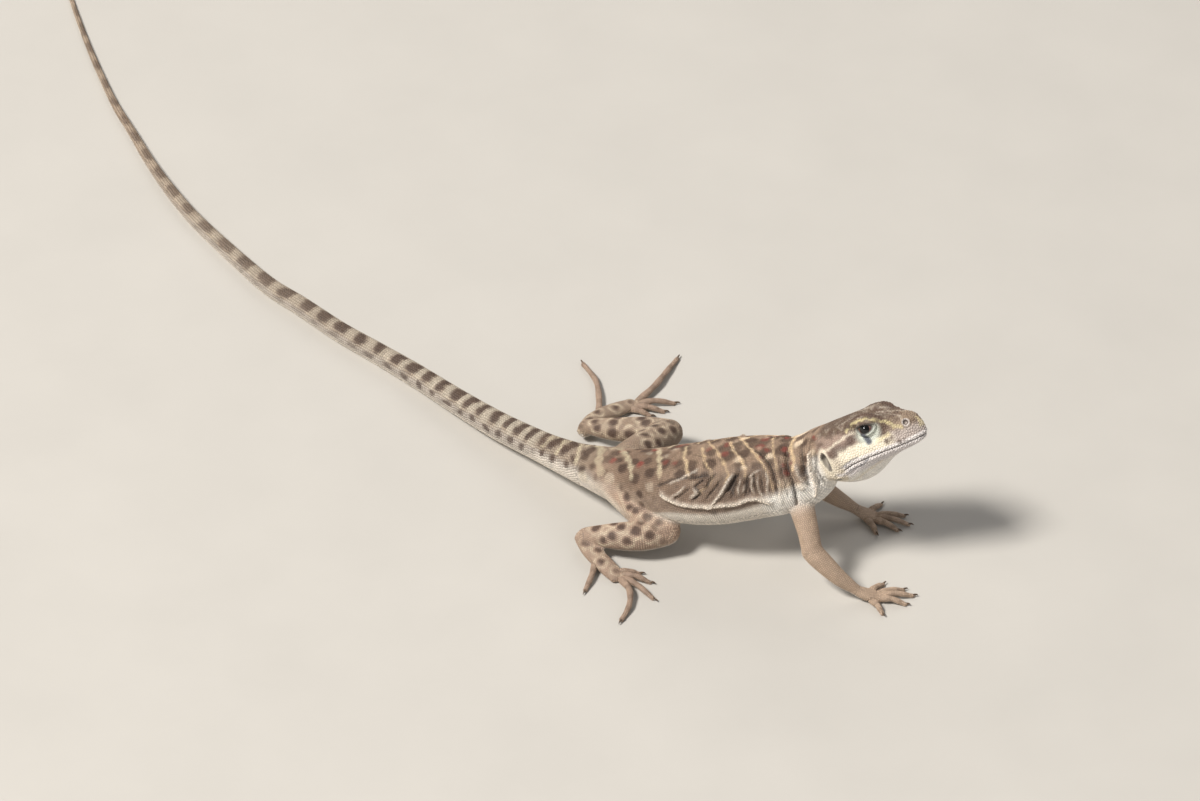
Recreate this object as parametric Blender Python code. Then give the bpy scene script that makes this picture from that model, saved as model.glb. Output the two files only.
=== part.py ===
"""Long-nosed leopard lizard, life size, still: head raised, tail swung back along the floor.

The places below are millimetres in a working frame: X along the body to the head, Y to the
animal's left, Z up from the floor. SHIFT carries them to the model's own origin.
"""

import math

import bmesh
import bpy
from mathutils import Matrix, Vector

MM = 0.001
GAP = 0.3
HALF_GAP = GAP / 2
SHIFT = Vector((31.4, -45.1, 0.0))
PI2 = 2 * math.pi

# The body from the tail's tip to the neck: centre x, y, z, half width, half height, roll in degrees
BODY_LINE = (
    (-137.8, 172.0, 0.34, 0.30, 0.30, 0),
    (-135.3, 158.9, 0.44, 0.52, 0.50, 0),
    (-129.5, 137.7, 0.55, 0.66, 0.62, 0),
    (-122.7, 116.7, 0.72, 0.84, 0.80, 0),
    (-117.2, 103.4, 0.87, 1.00, 0.96, 0),
    (-112.1, 91.1, 1.03, 1.18, 1.12, 0),
    (-106.6, 79.6, 1.24, 1.42, 1.34, 0),
    (-100.2, 68.2, 1.43, 1.64, 1.54, 0),
    (-90.8, 54.6, 1.61, 1.84, 1.72, 0),
    (-81.0, 41.5, 1.85, 2.10, 1.96, 0),
    (-73.0, 33.6, 1.99, 2.24, 2.10, 0),
    (-63.0, 23.4, 2.09, 2.34, 2.20, 0),
    (-53.1, 14.6, 2.24, 2.46, 2.34, 0),
    (-43.3, 5.4, 2.56, 2.70, 2.54, 0),
    (-33.5, -5.0, 3.40, 2.96, 2.76, 0),
    (-23.8, -15.1, 4.60, 3.28, 3.04, 0),
    (-14.2, -24.3, 6.30, 3.55, 3.35, 0),
    (-9.5, -28.7, 7.30, 3.95, 3.70, 0),
    (-4.7, -32.9, 8.40, 4.70, 4.20, 0),
    (0.0, -36.5, 9.60, 5.90, 5.00, 1),
    (4.7, -40.0, 10.70, 6.90, 5.80, 2),
    (9.4, -42.9, 12.00, 7.70, 6.60, 3),
    (14.1, -45.5, 13.30, 9.00, 7.50, 4),
    (18.7, -47.5, 14.70, 10.00, 8.30, 5),
    (23.4, -49.2, 16.10, 10.60, 8.80, 6),
    (28.0, -50.3, 17.50, 10.90, 9.00, 6),
    (32.6, -50.9, 18.80, 10.90, 9.00, 7),
    (37.3, -51.7, 20.20, 10.50, 8.90, 8),
    (41.9, -52.8, 21.70, 9.90, 8.70, 10),
    (46.5, -53.6, 23.50, 9.00, 8.20, 13),
    (50.0, -53.6, 26.00, 8.10, 7.30, 17),
    (53.4, -53.5, 29.30, 7.70, 6.50, 20),
    (57.7, -54.7, 31.60, 7.70, 6.50, 20),
)
BODY_SQUARE = 2.3
BODY_SIDES = 28
TAIL_SIDES = 16
TAIL_TIP_SIDES = 12
# Places along BODY_LINE where one node ends and the next begins
TAIL_TIP = 0.0
TAIL_REAR = 5.0
TAIL_MIDDLE = 10.0
TAIL_BASE = 14.5
HIPS = 19.0
TORSO = 22.0
NECK = 29.2
HEAD_JOIN = 31.0
NECK_TURN = 1.2

# The belly fold runs along the flank, and slack skin folds cross it
FOLD_START = 20.5
FOLD_END = 29.0
CREASE_END = 30.8
RIDGE_ANGLE = -38.6
RIDGE_RISE = 0.45
GROOVE_ANGLE = -25.7
GROOVE_DEPTH = 0.45
CREASE_DEPTH = 0.35
CREASE_STEP = 0.95
CREASE_LEAN = 0.012

# The head's own frame: rows are its forward, left and up directions
HEAD_PLACE = Vector((52.78, -52.6, 31.0))
HEAD_YAW = math.radians(-15.5)
HEAD_PITCH = math.radians(27.2)
HEAD_ROLL = math.radians(20.1)
# Head sections: x, crown, brow, temple, cheek, lip and jaw as (y, z) pairs, throat z
HEAD_LINE = (
    (0.0, 4.4, (4.6, 3.6), (6.8, 1.6), (7.6, -1.4), (7.4, -3.6), (6.2, -6.4), -8.6),
    (2.5, 4.8, (4.8, 4.1), (7.2, 1.8), (8.3, -1.4), (8.1, -3.8), (6.6, -7.2), -9.6),
    (5.0, 5.0, (4.9, 4.5), (7.3, 2.0), (8.7, -1.2), (8.6, -4.0), (6.6, -7.6), -10.2),
    (7.5, 5.1, (5.0, 4.9), (7.0, 2.3), (8.4, -1.0), (8.45, -3.8), (6.1, -7.4), -10.2),
    (10.0, 5.1, (5.2, 5.3), (6.4, 2.8), (7.7, -0.9), (7.85, -3.5), (5.5, -6.8), -9.6),
    (12.5, 5.0, (5.3, 5.8), (5.9, 3.0), (6.9, -0.7), (7.15, -3.2), (5.0, -6.0), -8.3),
    (15.0, 4.7, (5.0, 5.5), (5.5, 2.9), (6.2, -0.5), (6.45, -2.9), (4.4, -5.3), -6.7),
    (17.5, 4.2, (4.0, 4.3), (4.8, 2.3), (5.5, -0.4), (5.7, -2.7), (3.8, -4.8), -5.6),
    (20.0, 3.6, (2.9, 3.4), (4.0, 1.9), (4.7, -0.4), (4.9, -2.5), (3.2, -4.4), -4.9),
    (22.0, 3.1, (2.2, 2.8), (3.3, 1.5), (3.8, -0.4), (4.05, -2.3), (2.6, -4.0), -4.5),
    (23.5, 2.2, (1.7, 2.0), (2.5, 1.0), (2.8, -0.5), (2.9, -2.5), (2.0, -3.6), -4.0),
    (24.6, 1.0, (1.0, 0.8), (1.5, 0.3), (1.7, -0.7), (1.8, -2.2), (1.3, -3.0), -3.3),
    (25.3, -0.3, (0.3, -0.4), (0.45, -0.7), (0.5, -1.1), (0.5, -1.5), (0.35, -1.8), -1.9),
)
HEAD_RING_STEPS = 2
HEAD_LENGTH_STEPS = 2
EYE_PLACE = Vector((13.6, 4.4, 3.0))
EYE_SIZE = Vector((2.5, 2.5, 1.9))
LID_PLACE = Vector((13.6, 4.5, 2.9))
LID_SIZE = Vector((4.0, 2.0, 3.1))
EAR_PLACE = Vector((2.4, 8.4, -1.8))
EAR_SIZE = Vector((1.1, 0.9, 2.1))
NOSTRIL_PLACE = Vector((22.5, 2.9, 1.6))
NOSTRIL_RIM = 0.75
NOSTRIL_BORE = 0.4
NOSTRIL_OUT = 0.7
# The line of the mouth from its corner to the snout, in the head's own x and z
MOUTH_LINE = ((6.6, -4.9), (8.5, -4.2), (12.0, -3.7), (16.0, -3.3), (20.0, -3.0), (28.0, -2.3))
MOUTH_FLOOR = -20.0
MOUTH_SIDE = 15.0

# Limb lines: centre x, y, z and radius at each station
RIGHT_UPPER_ARM = (
    (45.8, -55.5, 22.8, 3.6), (46.7, -60.2, 19.2, 3.1), (48.3, -64.8, 14.8, 2.6), (49.2, -67.4, 11.0, 2.5))
RIGHT_FOREARM = (
    (49.2, -67.4, 10.8, 2.6), (51.4, -68.8, 9.0, 2.5), (55.6, -70.8, 5.6, 2.0), (59.7, -71.9, 2.8, 1.4))
LEFT_UPPER_ARM = (
    (49.4, -50.5, 23.0, 3.6), (50.6, -46.5, 17.5, 3.1), (50.2, -42.6, 12.0, 2.6), (49.9, -40.0, 8.5, 2.5))
LEFT_FOREARM = (
    (49.9, -40.0, 8.3, 2.6), (52.3, -40.7, 7.0, 2.5), (56.3, -41.8, 4.7, 2.0), (60.3, -42.8, 2.6, 1.4))
RIGHT_THIGH = (
    (2.8, -40.8, 10.8, 4.6), (6.4, -45.4, 10.2, 4.8), (10.6, -50.4, 8.8, 4.6), (15.0, -55.0, 6.8, 3.9))
RIGHT_SHIN = (
    (14.6, -55.2, 6.4, 3.7), (9.3, -56.4, 6.1, 3.7), (2.8, -55.7, 5.3, 3.1), (-3.3, -54.2, 4.3, 2.0))
LEFT_THIGH = (
    (5.2, -36.6, 11.0, 4.4), (8.6, -31.6, 10.1, 4.3), (12.6, -25.8, 8.6, 4.0), (16.3, -20.2, 6.8, 3.5))
LEFT_SHIN = (
    (16.2, -19.8, 6.6, 3.4), (10.7, -18.4, 6.2, 3.3), (2.9, -16.8, 5.2, 2.8), (-3.3, -14.6, 4.2, 1.8))
LIMB_SIDES = 12
END_RINGS = 2

# Feet: the palm or sole as centre, half width and half height, then each digit to its claw's root
RIGHT_HAND_PALM = ((59.7, -71.9, 2.6, 1.5, 1.4), (62.0, -72.1, 1.7, 2.0, 1.3), (64.8, -72.2, 0.82, 2.1, 0.9))
RIGHT_HAND_DIGITS = (
    ((62.6, -70.8, 1.1), (64.4, -68.9, 1.2), (65.8, -67.4, 0.42)),
    ((64.6, -71.2, 1.0), (67.4, -70.3, 1.4), (70.4, -69.2, 0.42)),
    ((65.0, -71.9, 1.0), (68.6, -71.6, 1.5), (72.6, -71.2, 0.42)),
    ((65.0, -72.9, 1.0), (67.8, -73.4, 1.4), (70.8, -74.1, 0.42)),
    ((63.2, -73.6, 1.0), (64.4, -75.4, 1.2), (65.4, -77.2, 0.42)),
)
LEFT_HAND_PALM = ((60.3, -42.8, 2.4, 1.5, 1.4), (62.4, -43.4, 1.6, 2.0, 1.3), (65.0, -44.0, 0.82, 2.1, 0.9))
LEFT_HAND_DIGITS = (
    ((62.8, -44.8, 1.1), (64.0, -46.8, 1.2), (64.8, -48.6, 0.42)),
    ((64.8, -45.0, 1.0), (67.2, -46.4, 1.4), (69.8, -47.8, 0.42)),
    ((65.2, -44.2, 1.0), (68.6, -45.0, 1.5), (72.4, -45.8, 0.42)),
    ((65.2, -43.4, 1.0), (68.2, -43.2, 1.4), (71.4, -42.8, 0.42)),
    ((63.4, -42.2, 1.0), (64.8, -40.6, 1.2), (66.2, -38.9, 0.42)),
)
RIGHT_SOLE = (
    (-4.2, -53.6, 3.0, 2.0, 1.8), (-2.2, -57.2, 2.3, 2.2, 1.7), (0.8, -61.2, 1.7, 2.4, 1.4),
    (4.2, -65.2, 0.86, 2.3, 0.95))
RIGHT_FOOT_DIGITS = (
    ((4.0, -63.6, 1.0), (6.6, -63.4, 1.2), (9.0, -63.4, 0.42)),
    ((5.0, -64.6, 1.0), (8.2, -65.4, 1.5), (11.4, -66.4, 0.42)),
    ((5.2, -65.4, 1.0), (8.6, -68.6, 1.6), (12.2, -72.0, 0.42)),
    ((4.8, -66.0, 1.0), (6.8, -70.4, 1.7), (6.8, -75.2, 1.2), (5.0, -79.6, 0.42)),
    ((-1.0, -59.6, 1.2), (-1.8, -64.4, 1.3), (-3.4, -69.2, 0.42)),
)
LEFT_SOLE = (
    (-3.8, -14.8, 3.0, 1.9, 1.8), (-1.6, -10.2, 2.3, 2.1, 1.7), (2.8, -6.2, 1.8, 2.3, 1.4),
    (8.0, -2.4, 0.86, 2.2, 0.95))
LEFT_FOOT_DIGITS = (
    ((6.8, -4.2, 1.0), (9.4, -5.2, 1.2), (11.8, -6.0, 0.42)),
    ((8.4, -3.6, 1.0), (11.6, -4.2, 1.5), (15.0, -4.6, 0.42)),
    ((9.0, -2.6, 1.0), (13.2, -2.0, 1.6), (17.6, -1.6, 0.42)),
    ((9.0, -1.6, 1.0), (13.0, 3.4, 1.6), (16.0, 9.4, 1.2), (18.6, 15.0, 0.42)),
    ((-0.4, -8.4, 1.5), (-0.2, -1.4, 1.3), (-1.0, 6.2, 1.0), (-4.0, 13.0, 0.42)),
)
SOLE_RINGS = 5
SOLE_END = 0.6
SOLE_END_REACH = 0.8
DIGIT_ROOT = 0.95
DIGIT_END = 0.62
DIGIT_SIDES = 6
CLAW_LENGTH = 2.0
CLAW_RADIUS = 0.42
CLAW_TIP = 0.12
CLAW_ARCH = 0.35
FLOOR_SIZE = 600.0

BODY_COLOUR = (0.34, 0.24, 0.17, 1.0)
HEAD_COLOUR = (0.48, 0.38, 0.28, 1.0)
JAW_COLOUR = (0.66, 0.61, 0.55, 1.0)
LEG_COLOUR = (0.42, 0.31, 0.23, 1.0)
EYE_COLOUR = (0.02, 0.015, 0.012, 1.0)
SKIN_ROUGHNESS = 0.6
EYE_ROUGHNESS = 0.1


def clear_scene():
    """Remove everything that a new Blender file starts with."""
    for thing in list(bpy.data.objects):
        bpy.data.objects.remove(thing, do_unlink=True)


def make_material(name, colour, roughness):
    """A plain principled material of one colour."""
    material = bpy.data.materials.new(name)
    material.use_nodes = True
    shader = material.node_tree.nodes["Principled BSDF"]
    shader.inputs["Base Color"].default_value = colour
    shader.inputs["Roughness"].default_value = roughness
    return material


def blend(rows, place):
    """Catmull-Rom interpolation between rows of numbers at a fractional row index."""
    last = len(rows) - 1
    index = min(int(place), last - 1)
    step = place - index
    before = rows[max(index - 1, 0)]
    start = rows[index]
    end = rows[index + 1]
    after = rows[min(index + 2, last)]
    values = []
    for a, b, c, d in zip(before, start, end, after):
        curve = (2 * a - 5 * b + 4 * c - d) * step * step + (3 * b - a - 3 * c + d) * step ** 3
        values.append(0.5 * (2 * b + (c - a) * step + curve))
    return values


def direction_at(rows, place):
    """Unit direction of the line at a fractional row index."""
    reach = 0.02
    low = max(place - reach, 0.0)
    high = min(place + reach, len(rows) - 1.0)
    return (Vector(blend(rows, high)[:3]) - Vector(blend(rows, low)[:3])).normalized()


def cross_axes(forward, roll=0.0):
    """Left and up directions across a line, turned about it by the roll."""
    left = Vector((0, 0, 1)).cross(forward).normalized()
    up = forward.cross(left)
    cosine = math.cos(roll)
    sine = math.sin(roll)
    return left * cosine - up * sine, up * cosine + left * sine


def signed_power(value, power):
    """A power that keeps the sign of its base."""
    return math.copysign(abs(value) ** power, value)


def round_ring(centre, left, up, width, height, sides, square=2.0):
    """One closed ring of points on a rounded-square section."""
    ring = []
    for step in range(sides):
        angle = PI2 * step / sides
        across = width * signed_power(math.cos(angle), 2 / square)
        above = height * signed_power(math.sin(angle), 2 / square)
        ring.append(centre + left * across + up * above)
    return ring


def solid_from_rings(name, rings):
    """A closed mesh through the rings, with a flat face over each end."""
    mesh = bpy.data.meshes.new(name)
    build = bmesh.new()
    rows = [[build.verts.new((point + SHIFT) * MM) for point in ring] for ring in rings]
    for near, far in zip(rows, rows[1:]):
        count = len(near)
        for step in range(count):
            turn = (step + 1) % count
            build.faces.new((near[step], far[step], far[turn], near[turn]))
    build.faces.new(rows[0])
    build.faces.new(list(reversed(rows[-1])))
    bmesh.ops.recalc_face_normals(build, faces=build.faces[:])
    build.to_mesh(mesh)
    build.free()
    return bpy.data.objects.new(name, mesh)


def put_in(collection, solid, material=None):
    """Link a solid to its collection and give it its material."""
    collection.objects.link(solid)
    if material is not None:
        solid.data.materials.append(material)
    return solid


def put_cutter(collection, solid):
    """Link a cutter, hidden from renders and drawn as wires."""
    collection.objects.link(solid)
    solid.hide_render = True
    solid.display_type = "WIRE"
    return solid


def apply_modifiers(solid):
    """Make the solid's modifiers part of its mesh."""
    graph = bpy.context.evaluated_depsgraph_get()
    mesh = bpy.data.meshes.new_from_object(solid.evaluated_get(graph))
    solid.modifiers.clear()
    old = solid.data
    solid.data = mesh
    bpy.data.meshes.remove(old)


def cut_away(solid, cutters, solver="EXACT"):
    """Take the cutters out of a solid one after another."""
    for cutter in cutters:
        modifier = solid.modifiers.new("cut " + cutter.name, "BOOLEAN")
        modifier.operation = "DIFFERENCE"
        modifier.solver = solver
        modifier.object = cutter
    apply_modifiers(solid)
    keep_largest(solid)


def keep_inside(solid, cutter):
    """Keep the part of a solid that lies inside the cutter."""
    modifier = solid.modifiers.new("inside " + cutter.name, "BOOLEAN")
    modifier.operation = "INTERSECT"
    modifier.solver = "EXACT"
    modifier.object = cutter
    apply_modifiers(solid)
    keep_largest(solid)


def join_pieces(solid, pieces):
    """Join loose pieces to a solid as one closed surface and remove them."""
    group = bpy.data.collections.new(solid.name + " pieces")
    for piece in pieces:
        group.objects.link(piece)
    modifier = solid.modifiers.new("join", "BOOLEAN")
    modifier.operation = "UNION"
    modifier.solver = "EXACT"
    modifier.operand_type = "COLLECTION"
    modifier.collection = group
    apply_modifiers(solid)
    keep_largest(solid)
    for piece in pieces:
        bpy.data.objects.remove(piece, do_unlink=True)
    bpy.data.collections.remove(group)


def keep_largest(solid):
    """Keep only the largest closed surface of a solid."""
    build = bmesh.new()
    build.from_mesh(solid.data)
    unseen = set(build.verts)
    groups = []
    while unseen:
        group = set()
        open_verts = [unseen.pop()]
        while open_verts:
            vert = open_verts.pop()
            group.add(vert)
            for edge in vert.link_edges:
                other = edge.other_vert(vert)
                if other in unseen:
                    unseen.remove(other)
                    open_verts.append(other)
        groups.append(group)
    largest = max(groups, key=len)
    spare = [vert for group in groups if group is not largest for vert in group]
    bmesh.ops.delete(build, geom=spare, context="VERTS")
    build.to_mesh(solid.data)
    build.free()


def shade(solid):
    """Smooth shading that keeps real edges sharp."""
    solid.data.shade_smooth()
    solid.data.set_sharp_from_angle(angle=math.radians(40))


def smooth_step(value):
    """Ease from 0 to 1."""
    value = min(max(value, 0.0), 1.0)
    return value * value * (3 - 2 * value)


def head_axes():
    """Forward, left and up directions of the head."""
    forward = Vector((
        math.cos(HEAD_PITCH) * math.cos(HEAD_YAW), math.cos(HEAD_PITCH) * math.sin(HEAD_YAW),
        math.sin(HEAD_PITCH)))
    left, up = cross_axes(forward, HEAD_ROLL)
    return forward, left, up


def fold_relief(place, angle):
    """Height of the flank's folds over the plain body, in millimetres."""
    fold_fade = smooth_step(place - FOLD_START) * smooth_step(FOLD_END - place)
    crease_fade = smooth_step(place - FOLD_START) * smooth_step(CREASE_END - place)
    degrees = math.degrees(angle)
    if degrees > 180:
        degrees -= 360
    if abs(degrees) > 90:
        degrees = math.copysign(180, degrees) - degrees
    ridge = RIDGE_RISE * math.exp(-((degrees - RIDGE_ANGLE) / 7) ** 2)
    groove = GROOVE_DEPTH * math.exp(-((degrees - GROOVE_ANGLE) / 7) ** 2)
    band = math.exp(-((degrees + 8) / 24) ** 2)
    crease = CREASE_DEPTH * band * math.sin(PI2 * (place + CREASE_LEAN * degrees) / CREASE_STEP)
    return fold_fade * (ridge - groove) + crease_fade * crease


def body_ring(place, sides, grow=0.0):
    """One section of the body line, its folds included."""
    x, y, z, width, height, roll = blend(BODY_LINE, place)
    forward = direction_at(BODY_LINE, place)
    turn = smooth_step((place - HEAD_JOIN) / NECK_TURN + 1)
    forward = forward.lerp(head_axes()[0], turn).normalized()
    left, up = cross_axes(forward, math.radians(roll))
    ring = []
    for step in range(sides):
        angle = PI2 * step / sides
        out = 1 + (grow + fold_relief(place, angle)) / height
        across = width * out * signed_power(math.cos(angle), 2 / BODY_SQUARE)
        above = height * out * signed_power(math.sin(angle), 2 / BODY_SQUARE)
        ring.append(Vector((x, y, z)) + left * across + up * above)
    return ring


def body_length(name, start, end, rings, sides, grow=0.0, end_gap=HALF_GAP):
    """A length of the body between two places of the body line, with flat ends."""
    start_step = (Vector(blend(BODY_LINE, start + 0.01)[:3]) - Vector(blend(BODY_LINE, start)[:3])).length
    end_step = (Vector(blend(BODY_LINE, end)[:3]) - Vector(blend(BODY_LINE, end - 0.01)[:3])).length
    first = start + 0.01 * HALF_GAP / start_step
    last = end - 0.01 * end_gap / end_step
    if start == TAIL_TIP:
        first = start
    places = [first + (last - first) * step / rings for step in range(rings + 1)]
    return solid_from_rings(name, [body_ring(place, sides, grow) for place in places])


def limb(name, rows, grow=0.0, rings=7, sides=LIMB_SIDES):
    """A limb segment with rounded ends through its stations."""
    last = len(rows) - 1
    sections = []
    for step in range(rings + 1):
        place = last * step / rings
        x, y, z, radius = blend(rows, place)
        sections.append((Vector((x, y, z)), direction_at(rows, place), radius + grow))
    first_centre, first_way, first_radius = sections[0]
    last_centre, last_way, last_radius = sections[-1]
    rings_out = []
    for step in range(END_RINGS):
        lift = math.radians(70 - 35 * step)
        centre = first_centre - first_way * first_radius * math.sin(lift)
        rings_out.append((centre, first_way, first_radius * math.cos(lift)))
    rings_out.extend(sections)
    for step in reversed(range(END_RINGS)):
        lift = math.radians(70 - 35 * step)
        centre = last_centre + last_way * last_radius * math.sin(lift)
        rings_out.append((centre, last_way, last_radius * math.cos(lift)))
    points = []
    for centre, way, radius in rings_out:
        left, up = cross_axes(way)
        points.append(round_ring(centre, left, up, radius, radius, sides))
    return solid_from_rings(name, points)


def sole(name, rows):
    """The flat of a hand or foot, wider than it is high, with blunt ends."""
    points = []
    last = len(rows) - 1
    for step in range(SOLE_RINGS + 1):
        place = last * step / SOLE_RINGS
        x, y, z, width, height = blend(rows, place)
        left, up = cross_axes(direction_at(rows, place))
        points.append(round_ring(Vector((x, y, z)), left, up, width, height, LIMB_SIDES, BODY_SQUARE))
    x, y, z, width, height = rows[-1]
    end = Vector((x, y, z)) + direction_at(rows, last) * height * SOLE_END_REACH
    points.append(round_ring(end, left, up, width * SOLE_END, height * SOLE_END, LIMB_SIDES, BODY_SQUARE))
    return solid_from_rings(name, points)


def digit(name, rows):
    """A tapering finger or toe that ends in a curved claw."""
    last = len(rows) - 1
    rings = 2 * last
    points = []
    for step in range(rings + 1):
        place = last * step / rings
        share = step / rings
        radius = DIGIT_ROOT + (DIGIT_END - DIGIT_ROOT) * share
        left, up = cross_axes(direction_at(rows, place))
        points.append(round_ring(Vector(blend(rows, place)), left, up, radius, radius, DIGIT_SIDES))
    tip = Vector(rows[-1])
    way = direction_at(rows, last)
    level = Vector((way.x, way.y, 0)).normalized()
    left, up = cross_axes(level)
    for share in (0.0, 0.5, 1.0):
        radius = CLAW_RADIUS + (CLAW_TIP - CLAW_RADIUS) * share
        rise = CLAW_ARCH * math.sin(math.pi * share) - 0.25 * share
        centre = tip + level * (0.3 + CLAW_LENGTH * share) + up * rise
        points.append(round_ring(centre, left, up, radius, radius, DIGIT_SIDES))
    return solid_from_rings(name, points)


def ball(name, centre, size, rounds=10, sides=16):
    """An ellipsoid in the head's own frame, with its poles along its own length."""
    forward, left, up = head_axes()
    turn = Matrix((left, up, forward)).transposed().to_4x4()
    middle = HEAD_PLACE + forward * centre.x + left * centre.y + up * centre.z
    place = Matrix.Translation((middle + SHIFT) * MM)
    scale = Matrix.Diagonal((size.y * MM, size.z * MM, size.x * MM, 1.0))
    mesh = bpy.data.meshes.new(name)
    build = bmesh.new()
    bmesh.ops.create_uvsphere(
        build, u_segments=sides, v_segments=rounds, radius=1.0, matrix=place @ turn @ scale)
    build.to_mesh(mesh)
    build.free()
    return bpy.data.objects.new(name, mesh)


def head_ring(values):
    """A closed ring from one row of half-section values."""
    x, crown, *pairs, throat = values
    half = [(0.0, crown)] + list(zip(pairs[0::2], pairs[1::2])) + [(0.0, throat)]
    outline = [(-y, z) for y, z in half] + [(y, z) for y, z in reversed(half[1:-1])]
    count = len(outline)
    wrapped = outline[-2:] + outline + outline[:3]
    forward, left, up = head_axes()
    ring = []
    for step in range(count * HEAD_RING_STEPS):
        y, z = blend(wrapped, 2 + step / HEAD_RING_STEPS)
        ring.append(HEAD_PLACE + forward * x + left * y + up * z)
    return ring


def head_body(name):
    """The whole head from its rear face to the snout."""
    rows = []
    for row in HEAD_LINE:
        flat = []
        for value in row:
            flat.extend(value if isinstance(value, tuple) else (value,))
        rows.append(flat)
    count = (len(rows) - 1) * HEAD_LENGTH_STEPS
    return solid_from_rings(name, [head_ring(blend(rows, step / HEAD_LENGTH_STEPS)) for step in range(count + 1)])


def mouth_wedge(name, grow):
    """The space under the line of the mouth, ahead of its corner."""
    forward, left, up = head_axes()
    corner = MOUTH_LINE[0][0] - grow
    profile = [(corner, MOUTH_FLOOR)]
    profile.append((corner, MOUTH_LINE[0][1] + grow))
    profile.extend((x, z + grow) for x, z in MOUTH_LINE[1:])
    profile.append((MOUTH_LINE[-1][0], MOUTH_FLOOR))
    rings = []
    for side in (-MOUTH_SIDE, MOUTH_SIDE):
        rings.append([HEAD_PLACE + forward * x + left * side + up * z for x, z in profile])
    return solid_from_rings(name, rings)


def mirrored(place, side):
    """A place on the head's left moved to the given side."""
    return Vector((place.x, place.y * side, place.z))


def build_head(parts, cutters):
    """The head with its lids, eyes, nostrils, ears and lower jaw."""
    eye_material = make_material("eye", EYE_COLOUR, EYE_ROUGHNESS)
    head = put_in(parts, head_body("head"), make_material("head skin", HEAD_COLOUR, SKIN_ROUGHNESS))
    jaw = put_in(parts, head_body("lower_jaw"), make_material("jaw skin", JAW_COLOUR, SKIN_ROUGHNESS))
    solids = [head, jaw]
    rims = []
    for side, word in ((1, "left"), (-1, "right")):
        rims.append(ball(word + " lids", mirrored(LID_PLACE, side), LID_SIZE, 10, 18))
        rim_size = Vector((NOSTRIL_RIM, NOSTRIL_RIM * 0.7, NOSTRIL_RIM))
        rims.append(ball(word + " nostril rim", mirrored(NOSTRIL_PLACE, side), rim_size, 6, 10))
    join_pieces(head, rims)
    hollows = [put_cutter(cutters, mouth_wedge("mouth", HALF_GAP))]
    grow = Vector((GAP, GAP, GAP))
    for side, word in ((1, "left"), (-1, "right")):
        eye = ball(word + "_eye", mirrored(EYE_PLACE, side), EYE_SIZE, 10, 16)
        solids.append(put_in(parts, eye, eye_material))
        hollows.append(put_cutter(cutters, ball(word + " socket", mirrored(EYE_PLACE, side), EYE_SIZE + grow, 10, 16)))
        bore = NOSTRIL_PLACE + Vector((0.0, NOSTRIL_OUT, 0.0))
        bore_size = Vector((NOSTRIL_BORE, NOSTRIL_BORE * 2, NOSTRIL_BORE))
        hollows.append(put_cutter(cutters, ball(word + " nostril", mirrored(bore, side), bore_size, 6, 10)))
        hollows.append(put_cutter(cutters, ball(word + " ear", mirrored(EAR_PLACE, side), EAR_SIZE, 8, 12)))
    cut_away(head, hollows, "MANIFOLD")
    keep_inside(jaw, put_cutter(cutters, mouth_wedge("jaw space", -HALF_GAP)))
    return solids


def build_body(parts, skin):
    """The neck, torso, hips and the four lengths of tail."""
    return [
        put_in(parts, body_length("neck", NECK, HEAD_JOIN, 5, BODY_SIDES, end_gap=GAP), skin),
        put_in(parts, body_length("torso", TORSO, NECK, 24, BODY_SIDES), skin),
        put_in(parts, body_length("hips", HIPS, TORSO, 8, BODY_SIDES), skin),
        put_in(parts, body_length("tail_base", TAIL_BASE, HIPS, 9, TAIL_SIDES), skin),
        put_in(parts, body_length("tail_middle", TAIL_MIDDLE, TAIL_BASE, 8, TAIL_SIDES), skin),
        put_in(parts, body_length("tail_rear", TAIL_REAR, TAIL_MIDDLE, 9, TAIL_SIDES), skin),
        put_in(parts, body_length("tail_tip", TAIL_TIP, TAIL_REAR, 10, TAIL_TIP_SIDES), skin),
    ]


def build_limb(parts, cutters, skin, trunk, floor, names, lines, palm, digits):
    """One leg: its upper part, lower part and foot, each hollowed round the part before it."""
    upper = put_in(parts, limb(names[0], lines[0]), skin)
    lower = put_in(parts, limb(names[1], lines[1]), skin)
    foot = put_in(parts, sole(names[2], palm), skin)
    join_pieces(foot, [digit("digit " + str(step), rows) for step, rows in enumerate(digits)])
    cut_away(upper, [trunk])
    upper_room = put_cutter(cutters, limb(names[0] + " room", lines[0], grow=GAP))
    lower_room = put_cutter(cutters, limb(names[1] + " room", lines[1], grow=GAP))
    cut_away(lower, [upper_room])
    cut_away(foot, [lower_room, floor])
    return [upper, lower, foot]


def floor_block():
    """The space below the floor."""
    mesh = bpy.data.meshes.new("floor")
    build = bmesh.new()
    bmesh.ops.create_cube(build, size=FLOOR_SIZE * MM, matrix=Matrix.Translation((0, 0, -FLOOR_SIZE / 2 * MM)))
    build.to_mesh(mesh)
    build.free()
    return bpy.data.objects.new("floor", mesh)


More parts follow.
